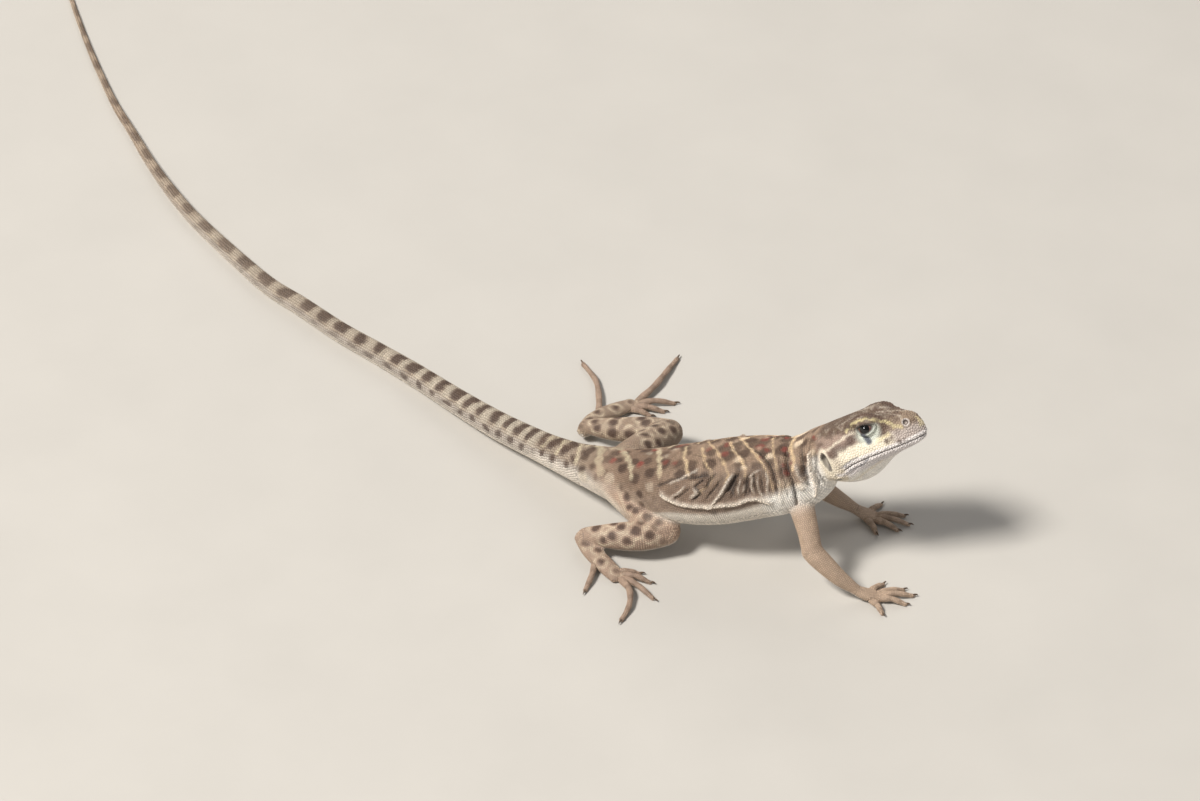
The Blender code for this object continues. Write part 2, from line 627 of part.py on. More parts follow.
def main():
    clear_scene()
    parts = bpy.data.collections.new("leopard lizard")
    cutters = bpy.data.collections.new("cutters")
    bpy.context.scene.collection.children.link(parts)
    bpy.context.scene.collection.children.link(cutters)
    skin = make_material("body skin", BODY_COLOUR, SKIN_ROUGHNESS)
    leg_skin = make_material("leg skin", LEG_COLOUR, SKIN_ROUGHNESS)
    floor = put_cutter(cutters, floor_block())
    trunk = put_cutter(cutters, body_length("trunk room", HIPS - 2, HEAD_JOIN, 48, BODY_SIDES, grow=GAP))
    solids = build_head(parts, cutters)
    body = build_body(parts, skin)
    for solid in body:
        if solid.name.startswith("tail"):
            cut_away(solid, [floor])
    solids.extend(body)
    legs = (
        (("right_upper_arm", "right_forearm", "right_hand"), (RIGHT_UPPER_ARM, RIGHT_FOREARM),
         RIGHT_HAND_PALM, RIGHT_HAND_DIGITS),
        (("left_upper_arm", "left_forearm", "left_hand"), (LEFT_UPPER_ARM, LEFT_FOREARM),
         LEFT_HAND_PALM, LEFT_HAND_DIGITS),
        (("right_thigh", "right_shin", "right_foot"), (RIGHT_THIGH, RIGHT_SHIN), RIGHT_SOLE, RIGHT_FOOT_DIGITS),
        (("left_thigh", "left_shin", "left_foot"), (LEFT_THIGH, LEFT_SHIN), LEFT_SOLE, LEFT_FOOT_DIGITS),
    )
    for names, lines, palm, digits in legs:
        solids.extend(build_limb(parts, cutters, leg_skin, trunk, floor, names, lines, palm, digits))
    for solid in solids:
        shade(solid)


main()
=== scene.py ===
"""Long-nosed leopard lizard: skin, scales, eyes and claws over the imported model.

Shapes are worked out in millimetres in the solids' working frame: X along the body to the head,
Y to the animal's left, Z up from the floor. SHIFT and MM carry them to the model's own frame.
"""

import itertools
import math

import bmesh
import bpy
import numpy as np
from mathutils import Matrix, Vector
from mathutils.bvhtree import BVHTree
from mathutils.kdtree import KDTree


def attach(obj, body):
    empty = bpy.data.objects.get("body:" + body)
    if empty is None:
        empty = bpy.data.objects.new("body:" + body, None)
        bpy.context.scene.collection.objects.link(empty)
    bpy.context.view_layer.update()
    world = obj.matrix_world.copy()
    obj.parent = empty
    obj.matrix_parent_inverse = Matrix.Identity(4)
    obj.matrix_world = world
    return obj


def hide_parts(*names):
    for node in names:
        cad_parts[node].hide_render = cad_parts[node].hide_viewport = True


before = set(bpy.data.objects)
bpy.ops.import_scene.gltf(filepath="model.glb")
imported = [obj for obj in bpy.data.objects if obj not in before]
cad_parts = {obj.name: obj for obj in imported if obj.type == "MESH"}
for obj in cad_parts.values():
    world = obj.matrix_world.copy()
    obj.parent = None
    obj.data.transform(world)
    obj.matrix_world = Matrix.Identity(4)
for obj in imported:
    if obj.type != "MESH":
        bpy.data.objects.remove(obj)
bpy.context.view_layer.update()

MM = 0.001
SHIFT = np.array((31.4, -45.1, 0.0))
UP = np.array((0.0, 0.0, 1.0))
# How far the skin lies below the solids' surface, as room for the scales
COAT = 0.12
rng = np.random.default_rng(7)

# Lines of flesh, as in the solids

# From the tail's tip to the neck: centre x, y, z, half width, half height, roll in degrees
BODY_LINE = (
    (-137.8, 172.0, 0.34, 0.30, 0.30, 0),
    (-135.3, 158.9, 0.44, 0.52, 0.50, 0),
    (-129.5, 137.7, 0.55, 0.66, 0.62, 0),
    (-122.7, 116.7, 0.72, 0.84, 0.80, 0),
    (-117.2, 103.4, 0.87, 1.00, 0.96, 0),
    (-112.1, 91.1, 1.03, 1.18, 1.12, 0),
    (-106.6, 79.6, 1.24, 1.42, 1.34, 0),
    (-100.2, 68.2, 1.43, 1.64, 1.54, 0),
    (-90.8, 54.6, 1.61, 1.84, 1.72, 0),
    (-81.0, 41.5, 1.85, 2.10, 1.96, 0),
    (-73.0, 33.6, 1.99, 2.24, 2.10, 0),
    (-63.0, 23.4, 2.09, 2.34, 2.20, 0),
    (-53.1, 14.6, 2.24, 2.46, 2.34, 0),
    (-43.3, 5.4, 2.56, 2.70, 2.54, 0),
    (-33.5, -5.0, 3.40, 2.96, 2.76, 0),
    (-23.8, -15.1, 4.60, 3.28, 3.04, 0),
    (-14.2, -24.3, 6.30, 3.55, 3.35, 0),
    (-9.5, -28.7, 7.30, 3.95, 3.70, 0),
    (-4.7, -32.9, 8.40, 4.70, 4.20, 0),
    (0.0, -36.5, 9.60, 5.90, 5.00, 1),
    (4.7, -40.0, 10.70, 6.90, 5.80, 2),
    (9.4, -42.9, 12.00, 7.70, 6.60, 3),
    (14.1, -45.5, 13.30, 9.00, 7.50, 4),
    (18.7, -47.5, 14.70, 10.00, 8.30, 5),
    (23.4, -49.2, 16.10, 10.60, 8.80, 6),
    (28.0, -50.3, 17.50, 10.90, 9.00, 6),
    (32.6, -50.9, 18.80, 10.90, 9.00, 7),
    (37.3, -51.7, 20.20, 10.50, 8.90, 8),
    (41.9, -52.8, 21.70, 9.90, 8.70, 10),
    (46.5, -53.6, 23.50, 9.00, 8.20, 13),
    (50.0, -53.6, 26.00, 8.10, 7.30, 17),
    (53.4, -53.5, 29.30, 7.70, 6.50, 20),
    (57.7, -54.7, 31.60, 7.70, 6.50, 20),
)
# Power of the body's rounded-square sections
BODY_SQUARE = 2.3
# Rows of the body's line: where the head joins, how long the turn into the head is, where the tail's
# finer skin starts, and where the rings of scales end
HEAD_JOIN = 31.0
NECK_TURN = 1.2
TAIL_CUT = 13.0
TAIL_WHORLS = 18.6
# Spacing of scales in mm
TRUNK_SPACING = 0.46
LEG_SPACING = 0.50
DIGIT_SPACING = 0.42
TAIL_SPACING = 0.70
BELLY_SPACING = 0.90
# How far apart rows of scales stand, as a share of the spacing along a row
ROW_SHARE = 0.88
# Largest piece in triangles, with the triangles of one scale and of one head plate
PIECE_TRIANGLES = 190000
SCALE_TRIANGLES = 22
PLATE_TRIANGLES = 70
# Half the width of one scale's patch on the bake map
PATCH = 0.0013
# Places tried on each square mm for scales that fill gaps, and for the head's plates
FILLERS = 14.0
PLATE_CHOICES = 70.0
# Points whose distances to a line are worked out in one go
AT_ONCE = 8000
# Step between the points of a fold's or a bar's path
PATH_STEP = 0.2
# The head's own stretch of its frame: nothing lower or further out belongs to it
HEAD_FLOOR = -13.0
HEAD_WIDTH = 12.0
HEAD_LENGTH = 26
# How far from the middle of the eye its lids reach
EYE_ZONE = 4.6

HEAD_PLACE = np.array((52.78, -52.6, 31.0))
HEAD_YAW = math.radians(-15.5)
HEAD_PITCH = math.radians(27.2)
HEAD_ROLL = math.radians(20.1)
# Head sections: x, crown z, brow, temple, cheek, lip and jaw as y, z pairs, throat z
HEAD_LINE = (
    (0.0, 4.4, 4.6, 3.6, 6.8, 1.6, 7.6, -1.4, 7.4, -3.6, 6.2, -6.4, -8.6),
    (2.5, 4.8, 4.8, 4.1, 7.2, 1.8, 8.3, -1.4, 8.1, -3.8, 6.6, -7.2, -9.6),
    (5.0, 5.0, 4.9, 4.5, 7.3, 2.0, 8.7, -1.2, 8.6, -4.0, 6.6, -7.6, -10.2),
    (7.5, 5.1, 5.0, 4.9, 7.0, 2.3, 8.4, -1.0, 8.45, -3.8, 6.1, -7.4, -10.2),
    (10.0, 5.1, 5.2, 5.3, 6.4, 2.8, 7.7, -0.9, 7.85, -3.5, 5.5, -6.8, -9.6),
    (12.5, 5.0, 5.3, 5.8, 5.9, 3.0, 6.9, -0.7, 7.15, -3.2, 5.0, -6.0, -8.3),
    (15.0, 4.7, 5.0, 5.5, 5.5, 2.9, 6.2, -0.5, 6.45, -2.9, 4.4, -5.3, -6.7),
    (17.5, 4.2, 4.0, 4.3, 4.8, 2.3, 5.5, -0.4, 5.7, -2.7, 3.8, -4.8, -5.6),
    (20.0, 3.6, 2.9, 3.4, 4.0, 1.9, 4.7, -0.4, 4.9, -2.5, 3.2, -4.4, -4.9),
    (22.0, 3.1, 2.2, 2.8, 3.3, 1.5, 3.8, -0.4, 4.05, -2.3, 2.6, -4.0, -4.5),
    (23.5, 2.2, 1.7, 2.0, 2.5, 1.0, 2.8, -0.5, 2.9, -2.5, 2.0, -3.6, -4.0),
    (24.6, 1.0, 1.0, 0.8, 1.5, 0.3, 1.7, -0.7, 1.8, -2.2, 1.3, -3.0, -3.3),
    (25.3, -0.3, 0.3, -0.4, 0.45, -0.7, 0.5, -1.1, 0.5, -1.5, 0.35, -1.8, -1.9),
)

# Limb stations: x, y, z, radius; palms and soles: x, y, z, half width, half height; digits: x, y, z
LIMBS = {
    "right_arm": (
        ((45.8, -55.5, 22.8, 3.6), (46.7, -60.2, 19.2, 3.1), (48.3, -64.8, 14.8, 2.6),
         (49.2, -67.4, 11.0, 2.5)),
        ((49.2, -67.4, 10.8, 2.6), (51.4, -68.8, 9.0, 2.5), (55.6, -70.8, 5.6, 2.0), (59.7, -71.9, 2.8, 1.4)),
        ((59.7, -71.9, 2.6, 1.5, 1.4), (62.0, -72.1, 1.7, 2.0, 1.3), (64.8, -72.2, 0.82, 2.1, 0.9)),
        (((62.6, -70.8, 1.1), (64.4, -68.9, 1.2), (65.8, -67.4, 0.42)),
         ((64.6, -71.2, 1.0), (67.4, -70.3, 1.4), (70.4, -69.2, 0.42)),
         ((65.0, -71.9, 1.0), (68.6, -71.6, 1.5), (72.6, -71.2, 0.42)),
         ((65.0, -72.9, 1.0), (67.8, -73.4, 1.4), (70.8, -74.1, 0.42)),
         ((63.2, -73.6, 1.0), (64.4, -75.4, 1.2), (65.4, -77.2, 0.42)))),
    "left_arm": (
        ((49.4, -50.5, 23.0, 3.6), (50.6, -46.5, 17.5, 3.1), (50.2, -42.6, 12.0, 2.6),
         (49.9, -40.0, 8.5, 2.5)),
        ((49.9, -40.0, 8.3, 2.6), (52.3, -40.7, 7.0, 2.5), (56.3, -41.8, 4.7, 2.0), (60.3, -42.8, 2.6, 1.4)),
        ((60.3, -42.8, 2.4, 1.5, 1.4), (62.4, -43.4, 1.6, 2.0, 1.3), (65.0, -44.0, 0.82, 2.1, 0.9)),
        (((62.8, -44.8, 1.1), (64.0, -46.8, 1.2), (64.8, -48.6, 0.42)),
         ((64.8, -45.0, 1.0), (67.2, -46.4, 1.4), (69.8, -47.8, 0.42)),
         ((65.2, -44.2, 1.0), (68.6, -45.0, 1.5), (72.4, -45.8, 0.42)),
         ((65.2, -43.4, 1.0), (68.2, -43.2, 1.4), (71.4, -42.8, 0.42)),
         ((63.4, -42.2, 1.0), (64.8, -40.6, 1.2), (66.2, -38.9, 0.42)))),
    "right_leg": (
        ((2.8, -40.8, 10.8, 4.6), (6.4, -45.4, 10.2, 4.8), (10.6, -50.4, 8.8, 4.6), (15.0, -55.0, 6.8, 3.9)),
        ((14.6, -55.2, 6.4, 3.7), (9.3, -56.4, 6.1, 3.7), (2.8, -55.7, 5.3, 3.1), (-3.3, -54.2, 4.3, 2.0)),
        ((-4.2, -53.6, 3.0, 2.0, 1.8), (-2.2, -57.2, 2.3, 2.2, 1.7), (0.8, -61.2, 1.7, 2.4, 1.4),
         (4.2, -65.2, 0.86, 2.3, 0.95)),
        (((4.0, -63.6, 1.0), (6.6, -63.4, 1.2), (9.0, -63.4, 0.42)),
         ((5.0, -64.6, 1.0), (8.2, -65.4, 1.5), (11.4, -66.4, 0.42)),
         ((5.2, -65.4, 1.0), (8.6, -68.6, 1.6), (12.2, -72.0, 0.42)),
         ((4.8, -66.0, 1.0), (6.8, -70.4, 1.7), (6.8, -75.2, 1.2), (5.0, -79.6, 0.42)),
         ((-1.0, -59.6, 1.2), (-1.8, -64.4, 1.3), (-3.4, -69.2, 0.42)))),
    "left_leg": (
        ((5.2, -36.6, 11.0, 4.4), (8.6, -31.6, 10.1, 4.3), (12.6, -25.8, 8.6, 4.0), (16.3, -20.2, 6.8, 3.5)),
        ((16.2, -19.8, 6.6, 3.4), (10.7, -18.4, 6.2, 3.3), (2.9, -16.8, 5.2, 2.8), (-3.3, -14.6, 4.2, 1.8)),
        ((-3.8, -14.8, 3.0, 1.9, 1.8), (-1.6, -10.2, 2.3, 2.1, 1.7), (2.8, -6.2, 1.8, 2.3, 1.4),
         (8.0, -2.4, 0.86, 2.2, 0.95)),
        (((6.8, -4.2, 1.0), (9.4, -5.2, 1.2), (11.8, -6.0, 0.42)),
         ((8.4, -3.6, 1.0), (11.6, -4.2, 1.5), (15.0, -4.6, 0.42)),
         ((9.0, -2.6, 1.0), (13.2, -2.0, 1.6), (17.6, -1.6, 0.42)),
         ((9.0, -1.6, 1.0), (13.0, 3.4, 1.6), (16.0, 9.4, 1.2), (18.6, 15.0, 0.42)),
         ((-0.4, -8.4, 1.5), (-0.2, -1.4, 1.3), (-1.0, 6.2, 1.0), (-4.0, 13.0, 0.42)))),
}
# Radius of a digit at its root and at its end, and the length of a hind claw
DIGIT_ROOT = 0.95
DIGIT_END = 0.62
CLAW_LENGTH = 1.7

# Head features, in its own frame

# The eyeball, the way it looks, and its opening's half width and half height above and below
EYE_MIDDLE = np.array((13.6, 4.3, 3.0))
EYE_RADIUS = 2.5
EYE_WAY = (0.04, 0.99, 0.08)
EYE_OPENING = (2.10, 0.95, 1.35)
# Nostril, ear with its half width and half height, the line of the mouth, and the brow's
NOSTRIL = np.array((22.5, 2.95, 1.75))
EAR = np.array((2.3, 8.2, -2.3))
EAR_HALF = (1.0, 2.2)
MOUTH_X = (5.0, 6.6, 8.5, 12.0, 16.0, 20.0, 26.0)
MOUTH_Z = (-5.9, -4.9, -4.2, -3.7, -3.3, -3.0, -2.5)
BROW = ((9.0, 5.6, 4.7), (11.6, 5.5, 5.6), (14.2, 5.4, 5.6), (16.4, 4.8, 4.7), (18.4, 4.1, 3.5))
# Raised and sunk lines of the head: height in mm, half width in mm, then the line
HEAD_LINES = (
    (0.28, 0.5, BROW),
    (0.14, 0.5, ((18.4, 4.1, 3.5), (20.0, 3.2, 3.2), (21.6, 2.5, 2.9))),
    (-0.22, 0.4, ((9.2, 4.9, 5.3), (12.0, 4.7, 5.6), (15.2, 4.6, 5.4), (17.6, 3.9, 4.2))),
    (-0.16, 0.3, ((10.2, 7.0, 1.0), (13.0, 6.9, -0.4), (16.6, 5.9, 0.3))),
    (0.14, 0.5, ((10.0, 7.3, 0.2), (13.0, 7.1, -1.1), (17.5, 5.6, -0.5))),
    (-0.22, 0.3, ((6.4, 8.3, -5.1), (4.6, 8.0, -6.0), (3.0, 7.4, -6.6))),
    (-0.20, 0.3, ((11.5, 7.0, -4.9), (8.6, 7.3, -5.6), (5.6, 7.2, -6.6))),
)

# Folds and markings of the body

# Slack skin: height and half width in mm, share of paint (painted highlight on a ridge, painted shade in a
# groove), then (place, degrees) along it on the right side
FOLDS = (
    (0.85, 0.55, 0.95, ((22.9, 158), (23.1, 166), (23.4, 171), (23.8, 176), (24.6, 178), (25.4, 178),
                        (26.2, 180), (26.9, 178), (27.4, 180), (27.8, 185), (28.0, 192))),
    (-0.60, 0.40, 0.75, ((22.7, 151), (23.1, 145), (23.5, 139), (24.1, 135), (24.6, 135), (25.1, 131))),
    (0.40, 0.34, 0.60, ((23.3, 146), (23.8, 138), (24.3, 129), (24.7, 120))),
    (-0.40, 0.45, 0.60, ((23.6, 150), (23.8, 151))),
    (0.45, 0.28, 0.70, ((23.4, 168), (23.9, 156), (24.1, 147))),
    (-0.45, 0.24, 0.70, ((23.5, 171), (24.0, 160), (24.3, 149))),
    (0.50, 0.42, 0.75, ((24.4, 150), (24.55, 159), (24.2, 168))),
    (-0.60, 0.34, 0.85, ((24.9, 138), (24.5, 149), (24.7, 161), (24.3, 170))),
    (-0.60, 0.42, 0.75, ((25.4, 129), (25.1, 141), (24.9, 156))),
    (-0.60, 0.32, 0.80, ((25.6, 141), (25.2, 156), (24.9, 168))),
    (0.75, 0.40, 0.85, ((24.8, 181), (25.2, 171), (25.6, 159), (26.0, 147), (26.35, 136))),
    (-0.95, 0.55, 0.95, ((26.65, 134), (26.2, 149), (25.8, 164))),
    (-0.85, 0.50, 0.90, ((26.45, 146), (26.2, 160), (26.1, 173))),
    (0.40, 0.26, 0.65, ((26.7, 147), (26.5, 159), (26.45, 171))),
    (0.40, 0.24, 0.60, ((26.95, 156), (26.65, 168))),
    (-0.60, 0.34, 0.85, ((26.9, 146), (26.95, 160), (26.85, 176))),
    (0.45, 0.24, 0.70, ((27.4, 148), (27.25, 162), (27.4, 175))),
    (-0.70, 0.30, 0.90, ((27.15, 142), (27.05, 158), (27.15, 176))),
    (-0.60, 0.30, 0.80, ((27.5, 140), (27.45, 156), (27.55, 176))),
    (0.40, 0.22, 0.65, ((27.65, 147), (27.6, 159), (27.65, 174), (27.8, 184))),
    (-0.60, 0.26, 0.85, ((27.8, 146), (27.8, 162), (27.8, 180))),
    (0.50, 0.28, 0.70, ((28.05, 144), (28.05, 159), (27.95, 174), (28.0, 184))),
    (-0.80, 0.30, 1.00, ((27.25, 99), (27.6, 108), (27.95, 120), (28.2, 132), (28.32, 148), (28.38, 164),
                         (28.35, 182))),
    (-0.25, 0.22, 0.55, ((24.2, 96), (25.0, 104), (25.5, 118))),
    (-0.25, 0.22, 0.50, ((26.0, 90), (26.6, 104), (26.95, 118), (27.1, 130))),
    (0.35, 0.26, 0.60, ((27.1, 150), (27.45, 143), (27.8, 138))),
    (-0.40, 0.22, 0.60, ((28.65, 118), (28.75, 140), (28.8, 166), (28.7, 190))),
    (0.35, 0.30, 0.55, ((28.55, 158), (28.45, 180), (28.35, 200))),
    (-1.00, 0.45, 1.00, ((29.35, 108), (29.2, 128), (29.1, 150), (29.1, 172), (28.95, 192), (28.8, 215))),
    (0.55, 0.55, 0.50, ((29.7, 140), (29.6, 160), (29.5, 180))),
    (0.40, 0.50, 0.80, ((29.1, 176), (29.35, 183), (29.65, 181))),
    (-0.75, 0.42, 0.90, ((30.35, 128), (30.2, 150), (29.95, 171), (29.6, 190))),
    (-0.35, 0.24, 0.50, ((30.7, 118), (30.75, 140), (30.6, 158))),
    (1.00, 0.42, 0.95, ((30.75, 150), (30.6, 166), (30.4, 177), (30.15, 187), (29.85, 198), (29.45, 214))),
    (-0.70, 0.36, 0.80, ((31.0, 158), (30.95, 176), (30.7, 190), (30.2, 206))),
)
# Cream bars across the back and flank: strength, half width in mm, then the line
BARS = (
    (0.70, 0.50, ((16.4, 60), (16.55, 84), (16.6, 110), (16.5, 130))),
    (0.75, 0.50, ((17.1, 60), (17.25, 84), (17.35, 110), (17.3, 134))),
    (0.80, 0.60, ((17.9, 60), (18.1, 84), (18.3, 110), (18.4, 136))),
    (0.85, 0.95, ((18.7, 60), (19.1, 82), (19.4, 110), (19.8, 142))),
    (0.95, 0.70, ((19.7, 60), (20.1, 76), (20.8, 98), (21.25, 120), (21.4, 140))),
    (0.95, 0.62, ((21.8, 66), (22.2, 86), (22.65, 108), (22.85, 134))),
    (0.85, 0.42, ((23.5, 78), (23.7, 95), (24.0, 112), (24.2, 132))),
    (0.80, 0.34, ((24.5, 84), (24.7, 98), (24.95, 112), (25.15, 124), (25.2, 138), (25.05, 148),
                  (24.7, 158))),
    (0.75, 0.30, ((24.6, 66), (24.9, 80), (25.25, 90), (25.5, 100), (25.75, 114), (25.95, 127),
                  (26.1, 138), (25.8, 148))),
    (1.00, 0.32, ((25.9, 78), (26.15, 93), (26.45, 107), (26.8, 121), (27.0, 134), (26.95, 144))),
    (1.00, 0.32, ((26.2, 62), (26.4, 72), (26.85, 91), (27.1, 99), (27.4, 110), (27.8, 126), (28.0, 138),
                  (28.15, 152), (28.2, 166), (28.15, 180))),
    (1.00, 0.26, ((27.9, 58), (28.05, 76), (28.15, 93), (28.35, 112), (28.45, 132), (28.5, 152),
                  (28.55, 170))),
    (1.10, 0.48, ((29.9, 66), (29.85, 80), (29.7, 96), (29.65, 110), (29.75, 124), (29.65, 138),
                  (29.4, 150))),
)
# Pale blots: place, degrees, radius in mm, strength
PALE_BLOTS = (
    (26.5, 70, 0.8, 0.8), (28.0, 62, 0.9, 0.9), (30.0, 74, 1.0, 0.9), (26.9, 130, 0.6, 0.8),
    (29.3, 180, 1.0, 0.8), (28.7, 172, 1.6, 0.45), (28.5, 190, 1.8, 0.5), (22.4, 152, 1.2, 0.4),
    (21.6, 84, 0.7, 0.4), (23.0, 82, 0.7, 0.4), (24.4, 144, 0.6, 0.5), (26.2, 94, 0.5, 0.4),
    (27.5, 98, 0.5, 0.4), (30.9, 160, 0.9, 0.7), (20.3, 152, 1.5, 0.5), (18.9, 172, 1.6, 0.5),
)
# Brown spots: place, degrees, radius in mm, strength
SPOTS = (
    (16.2, 92, 0.95, 0.9), (16.9, 98, 1.0, 0.9), (17.6, 98, 1.15, 0.9), (17.2, 158, 0.8, 0.9),
    (18.2, 126, 0.75, 0.9), (17.95, 153, 0.8, 0.9), (18.6, 96, 1.1, 0.8), (19.3, 132, 0.75, 0.8),
    (18.8, 152, 0.85, 0.9), (16.6, 153, 0.75, 0.9), (16.2, 70, 0.9, 0.8), (16.9, 72, 0.9, 0.8),
    (17.5, 66, 0.9, 0.8), (18.7, 70, 0.9, 0.7), (19.6, 159, 0.6, 0.5), (19.8, 104, 1.25, 0.9),
    (20.0, 138, 0.7, 0.4), (20.4, 81, 0.9, 0.8), (20.8, 123, 1.05, 1.0), (21.2, 107, 1.15, 0.8),
    (22.3, 126, 1.1, 1.0), (21.9, 102, 0.9, 0.5), (21.6, 141, 1.0, 0.9), (22.9, 111, 1.3, 0.8),
    (23.6, 112, 1.0, 0.6), (23.8, 129, 1.1, 0.9), (24.2, 114, 1.35, 0.7), (24.4, 129, 1.2, 0.6),
    (25.1, 114, 1.35, 0.8), (25.1, 93, 1.0, 0.6), (24.9, 134, 1.0, 0.6), (25.9, 105, 1.4, 0.7),
    (25.8, 87, 1.3, 0.5), (26.8, 105, 1.2, 0.7), (26.6, 125, 0.9, 0.5), (26.3, 87, 1.2, 0.5),
    (27.0, 92, 1.1, 0.6), (27.9, 108, 1.25, 0.8), (27.6, 133, 1.0, 0.5), (27.6, 87, 1.2, 0.6),
    (28.8, 108, 1.4, 0.8), (29.1, 84, 1.2, 0.6), (28.9, 148, 1.3, 0.5), (29.9, 162, 1.1, 0.8),
    (30.4, 118, 1.0, 0.8), (30.4, 154, 0.7, 0.9), (29.7, 186, 0.9, 0.7), (28.2, 130, 1.0, 0.4),
    (30.95, 172, 0.5, 1.0), (30.9, 128, 0.8, 0.6), (21.2, 176, 0.7, 0.9), (21.9, 168, 0.75, 0.9),
    (21.4, 192, 0.7, 0.9), (21.9, 187, 0.7, 0.9), (20.9, 166, 0.55, 0.7), (31.3, 140, 0.8, 0.6),
    (30.7, 96, 0.9, 0.6), (22.6, 88, 0.9, 0.5), (23.8, 92, 1.0, 0.5), (30.2, 90, 0.9, 0.5),
)
# Rust-red spots: place, degrees, radius in mm, strength
RED_SPOTS = (
    (20.1, 106, 0.75, 0.8), (21.6, 110, 0.85, 1.0), (22.9, 108, 0.8, 0.3), (23.4, 110, 0.6, 0.3),
    (25.8, 84, 0.9, 0.5), (27.6, 80, 1.0, 0.5), (28.0, 104, 0.6, 0.5), (29.1, 106, 0.65, 1.0),
    (29.0, 152, 0.6, 0.8), (28.9, 138, 0.4, 0.5), (30.9, 122, 0.55, 0.8), (24.9, 88, 0.6, 0.3),
    (29.4, 118, 0.4, 0.7), (29.4, 136, 0.4, 0.5), (27.7, 118, 0.4, 0.4),
)
# Distances from the tail's tip to the middle of each dark saddle, in mm
TAIL_BANDS = (
    -4, 4, 11, 19, 27, 35, 43, 51, 59, 67, 75, 83, 91.5, 100, 108.5, 117, 125.8, 135.1, 143.8, 151.1,
    158.5, 164.3, 170.7, 176.7, 182.6, 189.3, 194.7, 199.8, 204.6, 210.4, 214.9, 219.0, 224.0, 228.3,
    232.3, 236.0, 240.5, 244.5, 249.6, 254.8,
)
# Spots where thigh and hip meet, on the body: place, degrees, radius in mm
HIP_SPOTS = (
    (21.2, 176, 0.8), (21.9, 168, 0.85), (21.4, 192, 0.8), (21.9, 187, 0.8), (20.9, 166, 0.6),
    (22.1, 206, 0.8),
)
# Painted light and shade on leg pieces that the photograph shows lighter or darker than the rest: the far
# hind leg darker as painted shade, the near thigh lighter, partly its own pale tone and partly painted light
LEG_TONE_AND_PAINTED_LIGHT = {
    "right_thigh": (1.26, 1.26, 1.26), "left_thigh": (0.84, 0.86, 0.84), "left_shin": (0.84, 0.86, 0.84),
    "left_sole": (0.84, 0.86, 0.84),
}
# Leg spots on the side the listed angles face: place, degrees, radius in mm
LEG_SPOTS = {
    "right_thigh": (
        (1.5, 135, 0.85), (1.8, 110, 0.8), (2.0, 145, 0.8), (2.4, 135, 0.95), (2.8, 118, 0.7),
        (1.2, 100, 0.7), (2.3, 95, 0.8), (1.0, 78, 0.8), (1.8, 70, 0.8), (2.7, 80, 0.8)),
    "right_shin": (
        (0.0, 42, 1.0), (0.45, 66, 0.8), (0.7, 38, 1.0), (1.1, 62, 1.15), (1.9, 40, 0.95), (2.5, 92, 1.0),
        (1.6, 85, 0.9), (1.4, 20, 0.85), (2.2, 20, 0.7), (0.9, 100, 0.9), (1.9, 115, 0.8), (0.2, 5, 0.8)),
    "left_thigh": (
        (1.1, 128, 0.95), (1.6, 140, 0.8), (2.1, 110, 0.9), (2.6, 130, 0.9), (1.4, 90, 0.9),
        (2.2, 72, 0.9), (2.9, 95, 0.8), (1.7, 50, 0.8), (2.6, 40, 0.8)),
    "left_shin": (
        (1.9, 22, 1.05), (1.4, 20, 0.95), (1.9, 75, 0.9), (2.5, 85, 0.7), (0.5, 45, 0.9), (0.9, 75, 0.9),
        (1.1, 105, 0.9), (1.8, 120, 0.8), (0.2, 90, 0.8), (2.4, 40, 0.7)),
    "right_sole": (
        (0.0, 70, 0.8), (0.7, 100, 0.9), (1.4, 75, 0.7), (2.0, 110, 0.7), (2.7, 80, 0.6)),
    "left_sole": (
        (0.0, 80, 1.1), (0.6, 100, 0.9), (1.3, 80, 0.7), (2.1, 100, 0.7), (2.8, 90, 0.5)),
}


def tone(red, green, blue):
    """Linear colour of a display colour given in 0 to 255."""
    value = np.array((red, green, blue)) / 255
    return np.where(value <= 0.04045, value / 12.92, ((value + 0.055) / 1.055) ** 2.4)


BACK = tone(158, 134, 112)
FLANK = tone(154, 134, 116)
BELLY = tone(224, 214, 200)
CREAM = tone(220, 192, 152)
RIDGE = tone(226, 212, 194)
BROWN = tone(112, 88, 70)
HIP_CREAM = tone(188, 174, 146)
SPOT = tone(76, 55, 41)
RUST = tone(136, 66, 54)
LEG = tone(164, 139, 119)
LEG_SPOT = tone(80, 58, 46)
FOREARM = tone(180, 155, 132)
LEG_PALE = tone(208, 190, 164)
TAIL_BACK = tone(148, 132, 114)
TAIL_SIDE = tone(172, 161, 149)
TAIL_BAR = tone(184, 173, 155)
TAIL_END = tone(148, 127, 106)
TAIL_DARK = tone(74, 55, 43)
CROWN = tone(104, 86, 70)
TEMPLE = tone(154, 132, 117)
CHEEK = tone(228, 216, 194)
LIP = tone(226, 218, 212)
JAW = tone(224, 216, 212)
THROAT = tone(242, 236, 226)
SNOUT = tone(148, 127, 106)
MUZZLE = tone(182, 168, 158)
YELLOW = tone(212, 196, 150)
BLOTCH = tone(92, 70, 58)
LID = tone(222, 226, 212)
SLATE = tone(72, 76, 90)
# Near black brown: painted shade in the folds' grooves and in the ear's opening, painted shadow over the fold
# zone, and the dark edge and line of the eye's lids
DEEP = tone(44, 32, 26)
NOSTRIL_SHADE = tone(84, 66, 56)
EAR_DRUM = tone(168, 158, 144)
MOUTH_CREASE_SHADE = tone(96, 84, 86)


# Small helps

def unit(vectors):
    """Vectors brought to length one."""
    return vectors / np.maximum(np.linalg.norm(vectors, axis=-1, keepdims=True), 1e-9)


def ease(value):
    """Ease from 0 to 1: three squares less two cubes of the clipped value."""
    value = np.clip(value, 0.0, 1.0)
    return value * value * (3 - 2 * value)


